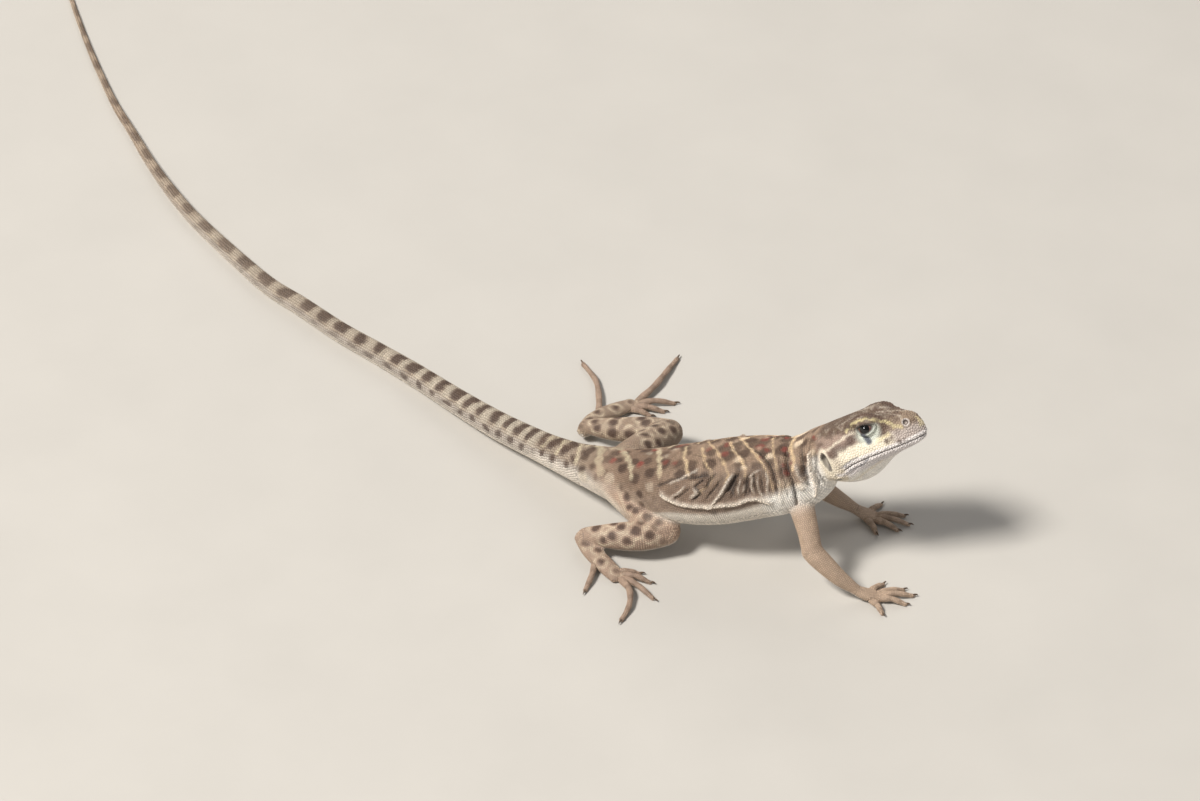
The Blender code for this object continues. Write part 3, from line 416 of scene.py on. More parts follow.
def signed_power(value, power):
    """A power that keeps the sign of its base."""
    return np.sign(value) * np.abs(value) ** power


def bump(distance, width):
    """A bell that falls from 1 with the square of distance over width."""
    return np.exp(-(distance / width) ** 2)


def filled(gap, width, soft):
    """1 nearer than the width and 0 past it, with a soft edge that reaches to either side."""
    return ease((width + soft - gap) / (2 * soft))


def around(count):
    """Angles of so many even steps round a circle."""
    return np.linspace(0, 2 * math.pi, count, endpoint=False)


def mix(colours, other, share):
    """Colours moved towards another by a share for each point."""
    share = np.clip(share, 0, 1)[:, None]
    return colours * (1 - share) + other * share


def painted(colours, *layers):
    """Colours with one layer after another laid over them, each a colour and its share."""
    for colour, share in layers:
        colours = mix(colours, colour, share)
    return colours


def blend(rows, place):
    """Catmull-Rom interpolation between rows of numbers at many fractional row indices."""
    last = len(rows) - 1
    place = np.clip(place, 0, last)
    index = np.minimum(place.astype(int), last - 1)
    step = (place - index)[..., None]
    a, b, c, d = (rows[np.clip(index + shift, 0, last)] for shift in (-1, 0, 1, 2))
    curve = (2 * a - 5 * b + 4 * c - d) * step ** 2 + (3 * b - a - 3 * c + d) * step ** 3
    return 0.5 * (2 * b + (c - a) * step + curve)


def cross_axes(forward, roll):
    """Left and up directions across a line, turned about it by the roll."""
    left = unit(np.cross(np.broadcast_to(UP, forward.shape), forward))
    up = np.cross(forward, left)
    cosine, sine = np.cos(roll)[..., None], np.sin(roll)[..., None]
    return left * cosine - up * sine, up * cosine + left * sine


def uneven(points, size, seed):
    """A smooth field between about -1 and 1: seven sine waves of like length in scattered directions."""
    scatter = np.random.default_rng(seed)
    ways = unit(scatter.normal(size=(7, 3))) * (2 * math.pi / size) * scatter.uniform(0.7, 1.5, (7, 1))
    return np.sin(points @ ways.T + scatter.uniform(0, 2 * math.pi, 7)).sum(1) / 2.6


def shaken(points, amount, size, seed):
    """Points moved about smoothly, so that marks measured from them get uneven edges."""
    return points + amount * np.stack([uneven(points, size, seed + axis) for axis in range(3)], 1)


def nearest(points, targets):
    """Distance to the nearest target and its index, for every point."""
    gaps, picks = [], []
    size = (targets ** 2).sum(1)
    for start in range(0, len(points), AT_ONCE):
        some = points[start:start + AT_ONCE]
        square = (some ** 2).sum(1)[:, None] + size - 2 * some @ targets.T
        pick = square.argmin(1)
        picks.append(pick)
        gaps.append(np.sqrt(np.maximum(square[np.arange(len(some)), pick], 0)))
    return np.concatenate(gaps), np.concatenate(picks)


def distances(points):
    """How far along a run of points each of them lies."""
    return np.concatenate(([0], np.cumsum(np.linalg.norm(np.diff(points, axis=0), axis=1))))


def walked(points, along, stops):
    """The places on a run of points at the given distances along it."""
    return np.stack([np.interp(stops, along, points[:, axis]) for axis in range(3)], 1)


def dense_path(corners, spacing=0.12):
    """Points every spacing along straight pieces between the corners."""
    corners = np.asarray(corners, float)
    along = distances(corners)
    return walked(corners, along, np.linspace(0, along[-1], max(int(along[-1] / spacing), 2)))


HEAD_FORWARD = np.array((
    math.cos(HEAD_PITCH) * math.cos(HEAD_YAW), math.cos(HEAD_PITCH) * math.sin(HEAD_YAW),
    math.sin(HEAD_PITCH)))
HEAD_LEFT, HEAD_UP = cross_axes(HEAD_FORWARD, np.array(HEAD_ROLL))
HEAD_AXES = np.array((HEAD_FORWARD, HEAD_LEFT, HEAD_UP))


def to_head(points):
    """Points in the head's own frame: forward, left and up from its rear."""
    return (points - HEAD_PLACE) @ HEAD_AXES.T


def from_head(points):
    """Points of the head's own frame brought back to the working frame."""
    return points @ HEAD_AXES + HEAD_PLACE


# Tubes of flesh

class Tube:
    """A run of flesh: rounded-square sections carried along a curve through its rows."""

    def __init__(self, rows, square=2.0, turns=False):
        rows = np.array(rows, float)
        if rows.shape[1] == 3:
            rows = np.column_stack((rows, np.linspace(DIGIT_ROOT, DIGIT_END, len(rows))))
        if rows.shape[1] == 4:
            rows = np.column_stack((rows, rows[:, 3]))
        if rows.shape[1] == 5:
            rows = np.column_stack((rows, np.zeros(len(rows))))
        self.rows = rows
        self.last = len(rows) - 1
        self.square = square
        self.turns = turns
        self.stops = np.linspace(0, self.last, self.last * 20 + 1)
        self.stop_points = blend(rows, self.stops)[:, :3]
        self.lengths = distances(self.stop_points)

    def sections(self, place):
        """Centre, forward, left, up, half width and half height at each place."""
        values = blend(self.rows, place)
        reach = 0.02
        forward = unit(blend(self.rows, place + reach)[..., :3] - blend(self.rows, place - reach)[..., :3])
        if self.turns:
            turn = ease((place - HEAD_JOIN) / NECK_TURN + 1)[..., None]
            forward = unit(forward * (1 - turn) + HEAD_FORWARD * turn)
        left, up = cross_axes(forward, np.radians(values[..., 5]))
        return values[..., :3], forward, left, up, values[..., 3], values[..., 4]

    def points(self, place, angle, rise=0.0):
        """Surface points: centre plus left and up by powers of the angle's cosine and sine."""
        place, angle = np.broadcast_arrays(np.asarray(place, float), np.asarray(angle, float))
        centre, _, left, up, wide, high = self.sections(place)
        out = 1 + rise / np.minimum(wide, high)
        across = wide * out * signed_power(np.cos(angle), 2 / self.square)
        above = high * out * signed_power(np.sin(angle), 2 / self.square)
        return centre + left * across[..., None] + up * above[..., None]

    def locate(self, points):
        """Place, angle and distance off the surface of the section nearest to each point."""
        _, pick = nearest(points, self.stop_points)
        place = self.stops[pick]
        centre, forward, _, _, _, _ = self.sections(place)
        speed = np.gradient(self.lengths, self.stops)[pick]
        place = np.clip(place + ((points - centre) * forward).sum(1) / speed, 0, self.last)
        centre, forward, left, up, wide, high = self.sections(place)
        out = points - centre
        across = (out * left).sum(1) / wide
        above = (out * up).sum(1) / high
        beyond = np.abs((out * forward).sum(1))
        power = self.square / 2
        angle = np.arctan2(signed_power(above, power), signed_power(across, power))
        ratio = (np.abs(across) ** self.square + np.abs(above) ** self.square) ** (1 / self.square)
        reach = np.hypot(across * wide, above * high)
        off = np.where(ratio > 0.05, reach * (1 - 1 / np.maximum(ratio, 0.05)), -wide)
        return place, angle, np.where(beyond > 0.3, np.hypot(reach, beyond) - wide, off)

    def rings(self, count, sides, rise=0.0, start=0.0, end=None):
        """A grid of rings from start to end."""
        place = np.linspace(start, self.last if end is None else end, count)[:, None]
        return self.points(place, around(sides)[None], rise)

    def rounded(self, count, sides, rise=0.0):
        """Rings with a half ball over each end: the section shrinks by the cosine of the lift."""
        body = self.rings(count, sides, rise)
        ends = []
        for place, way in ((0.0, -1.0), (float(self.last), 1.0)):
            centre, forward, _, _, wide, high = self.sections(np.array(place))
            ring = self.points(np.full(sides, place), around(sides), rise)
            lift = np.radians((22, 44, 62, 78))[:, None, None]
            outwards = way * forward * min(wide, high) * np.sin(lift)
            ends.append(centre + (ring - centre) * np.cos(lift) + outwards)
        return np.concatenate((ends[0][::-1], body, ends[1]))


BODY = Tube(BODY_LINE, BODY_SQUARE, turns=True)
FLESH = {}
DIGITS = {}
for limb_name, (upper_rows, lower_rows, flat_rows, digit_rows) in LIMBS.items():
    side_name, kind = limb_name.split("_")
    arm = kind == "arm"
    FLESH[side_name + ("_upper_arm" if arm else "_thigh")] = Tube(upper_rows)
    FLESH[side_name + ("_forearm" if arm else "_shin")] = Tube(lower_rows)
    FLESH[side_name + ("_palm" if arm else "_sole")] = Tube(flat_rows, BODY_SQUARE)
    for number, rows in enumerate(digit_rows):
        DIGITS[side_name + ("_finger_" if arm else "_toe_") + str(number)] = Tube(rows)
TUBES = {"body": BODY, **FLESH, **DIGITS}


# Meshes from arrays

def new_object(name, data):
    """An object of the data, put in the scene."""
    thing = bpy.data.objects.new(name, data)
    bpy.context.scene.collection.objects.link(thing)
    return thing


def read(items, key, width=1, kind=np.float32):
    """One property of all of a mesh's items as an array, with so many numbers to an item."""
    values = np.empty(len(items) * width, kind)
    items.foreach_get(key, values)
    return values.reshape(-1, width)


def make_mesh(name, points, polygons):
    """A mesh from an array of points and arrays of polygons of like side counts."""
    corners = np.concatenate([part.ravel() for part in polygons])
    sizes = np.concatenate([np.full(len(part), part.shape[1]) for part in polygons])
    mesh = bpy.data.meshes.new(name)
    mesh.vertices.add(len(points))
    mesh.vertices.foreach_set("co", np.ascontiguousarray(points, dtype=np.float32).ravel())
    mesh.loops.add(len(corners))
    mesh.loops.foreach_set("vertex_index", corners.astype(np.int32))
    mesh.polygons.add(len(sizes))
    mesh.polygons.foreach_set("loop_start", np.concatenate(([0], np.cumsum(sizes)[:-1])).astype(np.int32))
    mesh.update(calc_edges=True)
    mesh.validate()
    return mesh


def tube_polygons(count, sides, base):
    """Quads between rings, and fans to a middle point at each end, placed after the rings."""
    ring = np.arange(count - 1)[:, None] * sides
    step = np.arange(sides)[None]
    turn = (step + 1) % sides
    quads = np.stack((ring + step, ring + turn, ring + sides + turn, ring + sides + step), -1).reshape(-1, 4)
    first = count * sides
    step, turn = step[0], turn[0]
    start = np.stack((np.full(sides, first), turn, step), -1)
    end = np.stack((np.full(sides, first + 1), step + first - sides, turn + first - sides), -1)
    return [quads + base, start + base, end + base]


def closed_tubes(name, grids):
    """One mesh of several closed tubes, each through its own grid of rings."""
    points, polygons, base = [], [], 0
    for grid in grids:
        count, sides, _ = grid.shape
        points.extend((grid.reshape(-1, 3), grid[:1].mean(1), grid[-1:].mean(1)))
        polygons.extend(tube_polygons(count, sides, base))
        base += count * sides + 2
    return make_mesh(name, np.concatenate(points), polygons)


def mesh_points(mesh):
    """The mesh's vertex places as an array."""
    return read(mesh.vertices, "co", 3).astype(float)


def mesh_normals(mesh):
    """The mesh's vertex normals as an array."""
    return read(mesh.vertex_normals, "vector", 3).astype(float)


def set_points(mesh, points):
    """Put new vertex places in the mesh."""
    mesh.vertices.foreach_set("co", np.ascontiguousarray(points, dtype=np.float32).ravel())
    mesh.update()


def smoothed(mesh, points, rounds, share):
    """Each point moved towards the mean of its neighbours, by its share, again and again."""
    one, two = read(mesh.edges, "vertices", 2, np.int32).T
    count = len(points)
    degree = np.maximum(np.bincount(one, minlength=count) + np.bincount(two, minlength=count), 1)
    for step in range(rounds):
        means = np.stack([
            np.bincount(one, points[two, axis], count) + np.bincount(two, points[one, axis], count)
            for axis in range(3)], 1) / degree[:, None]
        points = points + (means - points) * (share[step % len(share)])
    return points


# The skin's shape

def head_rings(count, sides, rise):
    """Rings of the head: half sections mirrored and rounded by Catmull-Rom, along its length."""
    rows = blend(np.array(HEAD_LINE), np.linspace(0, len(HEAD_LINE) - 1, count))
    y = np.concatenate((np.zeros((count, 1)), rows[:, 2:12:2], np.zeros((count, 1))), 1)
    z = np.concatenate((rows[:, 1:2], rows[:, 3:12:2], rows[:, 12:13]), 1)
    ring = np.stack((np.concatenate((-y, y[:, -2:0:-1]), 1), np.concatenate((z, z[:, -2:0:-1]), 1)), -1)
    wrapped = np.concatenate((ring[:, -2:], ring, ring[:, :3]), 1).transpose(1, 0, 2)
    outline = blend(wrapped.reshape(wrapped.shape[0], -1), 2 + np.arange(sides) * ring.shape[1] / sides)
    outline = outline.reshape(sides, count, 2).transpose(1, 0, 2)
    middle = outline.mean(1, keepdims=True)
    out = outline - middle
    outline = middle + out * (1 + rise / np.maximum(np.linalg.norm(out, axis=-1, keepdims=True), 0.8))
    grid = np.concatenate((np.broadcast_to(rows[:, None, :1], (count, sides, 1)), outline), -1)
    return from_head(grid)[:, ::-1]


def ball_rings(centre, size, rings=14, sides=24):
    """An ellipsoid of the head's frame: circles of latitude scaled by its three half sizes."""
    polar = np.linspace(0.12, math.pi - 0.12, rings)[:, None]
    turn = around(sides)[None]
    grid = np.stack(np.broadcast_arrays(
        -np.cos(polar), np.sin(polar) * np.cos(turn), np.sin(polar) * np.sin(turn)), -1)
    return from_head(centre + grid * size)


def voxel_skin():
    """The flesh without tail and digits as one even mesh, its pieces melted together."""
    grids = [BODY.rings(190, 64, -COAT, start=TAIL_CUT - 1.0, end=31.6), head_rings(90, 72, -COAT)]
    for side in (-1, 1):
        grids.append(ball_rings(np.array((13.6, 4.5 * side, 2.9)), np.array((3.9, 1.9, 3.0))))
    for tube in FLESH.values():
        grids.append(tube.rounded(40, 36, -COAT))
    raw = new_object("raw", closed_tubes("raw", grids))
    melt = raw.modifiers.new("melt", "REMESH")
    melt.mode = "VOXEL"
    melt.voxel_size = 0.46
    mesh = bpy.data.meshes.new_from_object(raw.evaluated_get(bpy.context.evaluated_depsgraph_get()))
    bpy.data.objects.remove(raw, do_unlink=True)
    return mesh


def soften(mesh):
    """Smooth out the voxels everywhere, and the joints between pieces of flesh further."""
    points = mesh_points(mesh)
    points = smoothed(mesh, points, 12, (0.5, -0.52))
    joints = [HEAD_PLACE + HEAD_AXES[2] * -2]
    reach = [9.0]
    for name, tube in FLESH.items():
        joints.append(tube.rows[0, :3])
        reach.append(5.5 if name.endswith(("thigh", "upper_arm")) else 2.6)
    share = np.zeros(len(points))
    for joint, width in zip(joints, reach):
        share = np.maximum(share, bump(np.linalg.norm(points - joint, axis=1), width))
    points = smoothed(mesh, points, 14, (share[:, None] * 0.6,))
    set_points(mesh, points)


def join_tail(mesh):
    """Cut the body's rear end flat and carry the skin on as a finer tube to the tail's tip."""
    centre, forward, *_ = BODY.sections(np.array(TAIL_CUT))
    build = bmesh.new()
    build.from_mesh(mesh)
    bmesh.ops.bisect_plane(
        build, geom=build.verts[:] + build.edges[:] + build.faces[:], plane_co=Vector(centre),
        plane_no=Vector(-forward), clear_outer=True)
    rim = [edge for edge in build.edges if edge.is_boundary]
    sides = 32
    places = np.interp(np.arange(0, BODY.lengths[260], 0.55)[::-1], BODY.lengths, BODY.stops)
    places = np.concatenate((places[places < TAIL_CUT - 0.03], [0.0]))
    grid = BODY.points(places[:, None], around(sides)[None], -COAT * 0.7)
    rows = [[build.verts.new(point) for point in ring] for ring in grid]
    for near, far in zip(rows, rows[1:]):
        for step in range(sides):
            turn = (step + 1) % sides
            build.faces.new((near[step], far[step], far[turn], near[turn]))
    build.faces.new(rows[-1])
    first = [build.edges.get((rows[0][step], rows[0][(step + 1) % sides])) for step in range(sides)]
    bmesh.ops.bridge_loops(build, edges=rim + first)
    bmesh.ops.recalc_face_normals(build, faces=build.faces[:])
    build.to_mesh(mesh)
    build.free()


def refine_head(mesh):
    """Halve the faces of the head, and again where lids, nostrils, ears and lips need it."""
    build = bmesh.new()
    build.from_mesh(mesh)
    for fine in (False, True):
        points = np.array([vert.co for vert in build.verts])
        local = to_head(points)
        wanted = (local[:, 0] > -1.0) & (local[:, 2] > -14)
        if fine:
            wanted &= close_to_detail(local)
        build.verts.ensure_lookup_table()
        picks = [edge for edge in build.edges if wanted[edge.verts[0].index] and wanted[edge.verts[1].index]]
        bmesh.ops.subdivide_edges(build, edges=picks, cuts=1, use_grid_fill=True, smooth=0.0)
        build.verts.index_update()
    bmesh.ops.triangulate(build, faces=[face for face in build.faces if len(face.verts) > 4])
    build.to_mesh(mesh)
    build.free()
    points = mesh_points(mesh)
    local = to_head(points)
    share = ease((local[:, 0] + 1) / 2) * (local[:, 2] > -14) * 0.5
    set_points(mesh, smoothed(mesh, points, 3, (share[:, None],)))


def reach_over(side, line):
    """Distance to a line of the head measured over its surface: little of the way outwards is counted."""
    away = side - line[nearest(side, line)[1]]
    out = unit(side * (0, 1, 1) + (0, 0, 0.5))
    return np.linalg.norm(away - 0.85 * out * (away * out).sum(1, keepdims=True), axis=1)


def mirrored(local):
    """Head places with the right side folded onto the left."""
    return np.column_stack((local[:, 0], np.abs(local[:, 1]), local[:, 2]))


def eye_ring(local):
    """How many openings' widths a point lies from the middle of the eye, and how far out it is."""
    way = unit(np.array(EYE_WAY))
    along = unit(np.cross(way, UP))
    above = np.cross(along, way)
    above = above * np.sign(above[2])
    out = local - EYE_MIDDLE
    radius = np.linalg.norm(out, axis=1)
    facing = unit(out) @ way
    flat = unit(out) * (EYE_RADIUS + 0.3)
    wide = np.abs(flat @ along) / EYE_OPENING[0]
    lift = flat @ above
    high = np.abs(lift) / np.where(lift > 0, EYE_OPENING[1], EYE_OPENING[2])
    ring = (wide ** 1.75 + high ** 1.75) ** (1 / 1.75)
    return np.where(facing > 0.05, ring + 1.2 * ease((0.42 - facing) / 0.37), 9.0), radius


def ear_ring(local):
    """How many half sizes a point lies from the middle of the ear's tilted oval."""
    out = local - EAR
    tilt = math.radians(-12)
    along = out[:, 0] * math.cos(tilt) - out[:, 2] * math.sin(tilt)
    above = out[:, 0] * math.sin(tilt) + out[:, 2] * math.cos(tilt)
    return np.sqrt((along / EAR_HALF[0]) ** 2 + (above / EAR_HALF[1]) ** 2 + (out[:, 1] / 2.5) ** 2)


def mouth_gap(local):
    """Height over the line of the mouth, and how fully the mouth is there."""
    gap = local[:, 2] - np.interp(local[:, 0], MOUTH_X, MOUTH_Z)
    return gap, ease((local[:, 0] - 5.4) / 1.6)


def close_to_detail(local):
    """Whether a point of the head lies where fine detail is carved."""
    side = mirrored(local)
    ring, radius = eye_ring(side)
    gap, there = mouth_gap(side)
    nostril = np.linalg.norm(side - NOSTRIL, axis=1)
    lips = (np.abs(gap) < 0.75) & (there > 0.05)
    return ((ring < 1.75) & (radius < EYE_ZONE)) | (nostril < 1.5) | lips | (ear_ring(side) < 1.25)


def carve_head(points, normals):
    """Brows, muzzle edge, nostrils, lips, ears and muscles pushed out or in along the normal."""
    local = to_head(points)
    side = mirrored(local)
    shown = ease((local[:, 0] + 1.0) / 2.0) * (local[:, 2] > -14)
    nostril = np.linalg.norm(side - NOSTRIL, axis=1)
    gap, there = mouth_gap(side)
    ear = ear_ring(side)
    rise = 0.24 * bump(nostril - 0.95, 0.26) - 0.9 * bump(nostril, 0.42)
    rise += there * (0.15 * bump(gap - 0.6, 0.4) + 0.13 * bump(gap + 0.6, 0.4) - 0.36 * bump(gap, 0.15))
    rise += 0.16 * bump(ear - 1.2, 0.22) - 0.95 * ease((1.05 - ear) / 0.5)
    rise += 0.28 * bump(np.linalg.norm(side - (5.2, 8.6, -1.2), axis=1), 2.4)
    dome = (side - (12.9, 3.1, 5.4)) / (2.9, 1.75, 3.0)
    rise += 0.42 * ease(1.25 - np.linalg.norm(dome, axis=1))
    midline = ease((side[:, 0] - 9) / 3) * ease((20 - side[:, 0]) / 4) * (side[:, 2] > 2)
    rise -= 0.26 * bump(side[:, 1], 1.0) * midline
    for height, width, line in HEAD_LINES:
        rise += height * bump(nearest(side, dense_path(line))[0], width)
    points = points + normals * (rise * shown)[:, None]
    return shape_lids(points)


def shape_lids(points):
    """Lids wrapped round the eyeball: distance from its middle set by the ring round the opening."""
    local = to_head(points)
    side = mirrored(local)
    ring, radius = eye_ring(side)
    target = np.interp(
        ring, (0, 0.84, 0.93, 1.02, 1.16, 1.38, 1.62, 1.85),
        (2.0, 2.1, 2.58, 2.86, 2.93, 2.78, 2.84, 3.0))
    share = (1 - ease((ring - 1.35) / 0.5)) * (radius < EYE_ZONE)
    wanted = radius + (target - radius) * share
    over = (ring > 1.02) & (ring < 8.0)
    wanted = np.where(over & (wanted < EYE_RADIUS + 0.3), EYE_RADIUS + 0.3, wanted)
    side = EYE_MIDDLE + (side - EYE_MIDDLE) * (wanted / radius)[:, None]
    side[:, 1] *= np.where(local[:, 1] < 0, -1, 1)
    return from_head(side)


def both_side_paths(rows, wander, drift, turn):
    """Each row's first values and its line as a path: on the right side, then on the left with jitter.

    Only the stretch clear of the spine is repeated on the left.
    """
    for mirror in (False, True):
        for *values, line in rows:
            place, degrees = np.array(line, float).T
            if mirror:
                shift, swing = wander.normal(0, drift), wander.normal(0, turn)
                flank = degrees >= 107
                place, degrees = place[flank] + shift, 180 - degrees[flank] + swing
            if len(place) > 1:
                yield values, dense_path(BODY.points(place, np.radians(degrees)), PATH_STEP)


def bar_paths():
    """Strength, half width, path and a phase for every cream bar on both sides."""
    wander = np.random.default_rng(5)
    return [(*values, path, wander.uniform(0, 6)) for values, path in both_side_paths(BARS, wander, 0.1, 2)]


def fold_paths():
    """Height, half width, share of paint and path of every slack fold on both sides."""
    return [(*values, path) for values, path in both_side_paths(FOLDS, np.random.default_rng(3), 0.04, 1.5)]


def fade_ends(pick, count):
    """Share that falls to nothing over the last millimetre and a half of a path."""
    return ease((np.minimum(pick, count - 1 - pick) * PATH_STEP + 0.3) / 1.5)


def crease_body(points, normals):
    """The slack folds of flank, shoulder and throat as ridges and grooves beside their lines."""
    place, _, off = BODY.locate(points)
    chosen = np.flatnonzero((place > 20.5) & (np.abs(off) < 3.0))
    rise = np.zeros(len(chosen))
    for height, width, _, path in fold_paths():
        gap, pick = nearest(points[chosen], path)
        rise += 1.15 * height * bump(gap, width) * fade_ends(pick, len(path))
    rise = np.clip(rise, -1.3, 1.3)
    head = ease((to_head(points[chosen])[:, 0] - 0.5) / 2)
    points = points.copy()
    points[chosen] += normals[chosen] * (rise * (1 - head))[:, None]
    return points


def knuckled(tube):
    """A digit: rings that swell gently at each joint and close over a round tip."""
    grid = tube.rounded(30, 14, -COAT)
    centre = grid.mean(1, keepdims=True)
    share = np.linspace(0, 1, len(grid))[:, None, None]
    swell = 1 + 0.07 * np.cos(share * 2 * math.pi * (1.5 * tube.last))
    return centre + (grid - centre) * swell


def make_skin():
    """One skin over head, body, tail, legs and digits."""
    mesh = voxel_skin()
    soften(mesh)
    join_tail(mesh)
    refine_head(mesh)
    points = crease_body(mesh_points(mesh), mesh_normals(mesh))
    set_points(mesh, points)
    points = carve_head(points, mesh_normals(mesh))
    set_points(mesh, points)
    toes = closed_tubes("digits", [knuckled(tube) for tube in DIGITS.values()])
    build = bmesh.new()
    build.from_mesh(mesh)
    build.from_mesh(toes)
    build.to_mesh(mesh)
    build.free()
    bpy.data.meshes.remove(toes)
    points = mesh_points(mesh)
    points[:, 2] = np.maximum(points[:, 2], 0.02)
    set_points(mesh, points)
    return mesh


# Markings

def side_height(angle):
    """Degrees up the side for an angle round the section: 90 on the spine, -90 under the belly."""
    degrees = np.degrees(angle)
    return np.where(np.abs(degrees) > 90, np.sign(degrees) * 180 - degrees, degrees)


def spot_share(points, centres, radii, soft):
    """How deep each point lies in the nearest round spot."""
    share = np.zeros(len(points))
    for centre, radius in zip(centres, radii):
        gap = np.linalg.norm(points - centre, axis=1)
        share = np.maximum(share, filled(gap, radius, soft))
    return share


def both_sides(table):
    """Centres and the other columns of a list of spots on the right side, then mirrored with some jitter."""
    rows = np.array(table, float)
    wander = np.random.default_rng(11)
    left = rows.copy()
    left[:, 0] += wander.normal(0, 0.12, len(rows))
    left[:, 1] = 180 - left[:, 1] + wander.normal(0, 5, len(rows))
    rows = np.concatenate((rows, left))
    return BODY.points(rows[:, 0], np.radians(rows[:, 1])), rows[:, 2:]


def paint_spots(colours, points, table, colour, soft, scale=1.0, least=0.4, more=0.58):
    """Round spots of one colour laid over the colours, at least so strong and more by their strength."""
    centres, rest = both_sides(table)
    rest = rest * (scale, 1)
    for strength in np.unique(rest[:, 1]):
        some = rest[:, 1] == strength
        share = spot_share(points, centres[some], rest[some, 0], soft)
        colours = mix(colours, colour, share * (least + more * strength))
    return colours


def body_colours(points, place, angle):
    """Brown back, cream bars edged with brown, round spots, pale belly, and a banded tail."""
    height = side_height(angle)
    flat = BODY.points(place, angle)
    colours = painted(
        np.tile(BACK, (len(points), 1)),
        (FLANK, ease((40 - height) / 50)),
        (TAIL_BACK, 0.9 * ease((21.0 - place) / 3.5)),
        (BROWN, 0.68 * bump(place - 21.5, 2.0) * ease((height - 2) / 30)),
        (TAIL_SIDE, ease((20.6 - place) / 2) * ease((46 - height) / 30)),
        (BELLY, 0.55 * ease((21.0 - place) / 1.0) * ease((26 - height) / 22)))
    trunk = np.flatnonzero((place > 15.0) & (height > -50))
    colours[trunk] = trunk_marks(colours[trunk], flat[trunk], place[trunk], height[trunk])
    colours = tail_colours(colours, flat, place, height)
    start = -14 + 9 * ease((place - 22) / 1.5) * ease((29 - place) / 1.5)
    pale = ease((start - height) / 11) * ease(place - 18) + ease((-4 - height) / 30) * ease(19 - place)
    white = ease((place - 29.6) / 0.8) * ease((20 - height) / 16)
    white = np.maximum(white, ease((place - 27.3) / 0.8) * ease((8 - height) / 12))
    colours = painted(
        colours, (BELLY, pale), (THROAT, 0.97 * white * (0.95 + 0.12 * uneven(flat, 2.2, 35))))
    return fold_painted_light_and_shade(colours, flat, place, height)


def trunk_marks(shade, points, place, height):
    """Brown between the bars, soft round spots in rows, rust spots, the bars, then pale blots."""
    some = shaken(points, 0.16, 2.2, 21)
    gaps = []
    for strength, width, path, phase in bar_paths():
        gap, pick = nearest(some, path)
        gaps.append((strength, width * (0.9 + 0.2 * np.sin(pick * 0.35 + phase)), gap))
    clear = np.min([gap - width for _, width, gap in gaps], axis=0)
    brown = ease((clear - 0.2) / 1.0) * ease((height + 25) / 30) * ease((place - 20) / 2)
    shade = mix(shade, BROWN, brown * (0.20 + 0.20 * uneven(points, 2.6, 31)))
    shade = paint_spots(shade, some, SPOTS, SPOT, 0.55, 1.28)
    shade = paint_spots(shade, some, RED_SPOTS, RUST, 0.5, 1.12)
    cream = HIP_CREAM + (CREAM - HIP_CREAM) * ease((place - 22) / 3)[:, None]
    for strength, width, gap in gaps:
        shade = mix(shade, SPOT, 0.22 * strength * bump(gap - width - 0.45, 0.3))
    patchy = 0.84 + 0.22 * uneven(points, 1.5, 41)
    for strength, width, gap in gaps:
        shade = mix(shade, cream, min(strength, 1.0) * patchy * filled(gap, width, 0.18 + 0.3 * width))
    return paint_spots(shade, some, PALE_BLOTS, RIDGE * 0.5 + cream * 0.5, 0.5, least=0.0, more=1.0)


def fold_painted_light_and_shade(colours, points, place, height):
    """Painted shade and highlight of the slack folds: a darker fold zone with a painted shadow over its
    middle, painted shade in the grooves and painted highlights on the crests.
    """
    some = np.flatnonzero(place > 21.5)
    slack = ease((place[some] - 22.6) / 1.0) * ease((29.0 - place[some]) / 0.8)
    slack *= ease((height[some] + 4) / 8) * ease((56 - height[some]) / 24)
    shade = mix(colours[some], BROWN, 0.5 * slack)
    # Painted shadow over the middle of the fold zone
    deep = bump(place[some] - 26.5, 1.5) * bump(height[some] - 28, 18.0)
    shade = mix(shade, DEEP, 0.45 * deep * (0.8 + 0.4 * uneven(points[some], 2.0, 55)))
    where = shaken(points[some], 0.08, 1.6, 51)
    # Painted highlight on each crest, the lowest ridge also pale in its own right, and painted shade in each
    # groove
    for height, width, paint, path in fold_paths():
        gap, pick = nearest(where, path)
        colour, depth = (RIDGE, 1.05) if height > 0 else (DEEP, 0.92)
        shade = mix(shade, colour, depth * paint * bump(gap, width * 0.88) * fade_ends(pick, len(path)))
    colours[some] = shade
    return colours


def tail_colours(colours, points, place, height):
    """Dark rounded marks along the tail's back, smaller ones low on each side, pale bars between."""
    length = np.interp(place, BODY.stops, BODY.lengths)
    count = np.interp(length, TAIL_BANDS, np.arange(len(TAIL_BANDS)))
    count = count + 0.07 * uneven(points, 5.0, 61)
    height = height + 5 * uneven(points, 4.0, 63)
    near = ease((length - 150) / 60)
    beside = count - np.round(count)
    lower = count + 0.24 - np.round(count + 0.24)
    back = ease((1.35 - np.hypot(beside / 0.29, (height - 74) / (32 - 5 * near))) / 0.7)
    flank = ease((1.35 - np.hypot(lower / 0.27, (height - 13) / 15)) / 0.7)
    link = bump(beside + 0.06, 0.16) * ease((height - 4) / 14)
    band = np.maximum.reduce((back, (0.42 + 0.50 * near) * flank, (0.30 - 0.18 * near) * link))
    band = band * ease((262 - length) / 5)
    pale = ease((0.36 - np.abs(np.abs(beside) - 0.5)) / 0.30) * ease((height - 20) / 22)
    ground = painted(
        np.tile(TAIL_BACK, (len(place), 1)),
        (TAIL_SIDE, ease((50 - height) / 44)),
        (TAIL_BAR, (0.30 + 0.35 * near) * pale),
        (TAIL_END, 0.8 * ease((130 - length) / 70)),
        (TAIL_DARK, band * (0.92 - 0.34 * ease((190 - length) / 80))))
    return colours + (ground - colours) * ease((16.35 - place) / 0.45)[:, None]


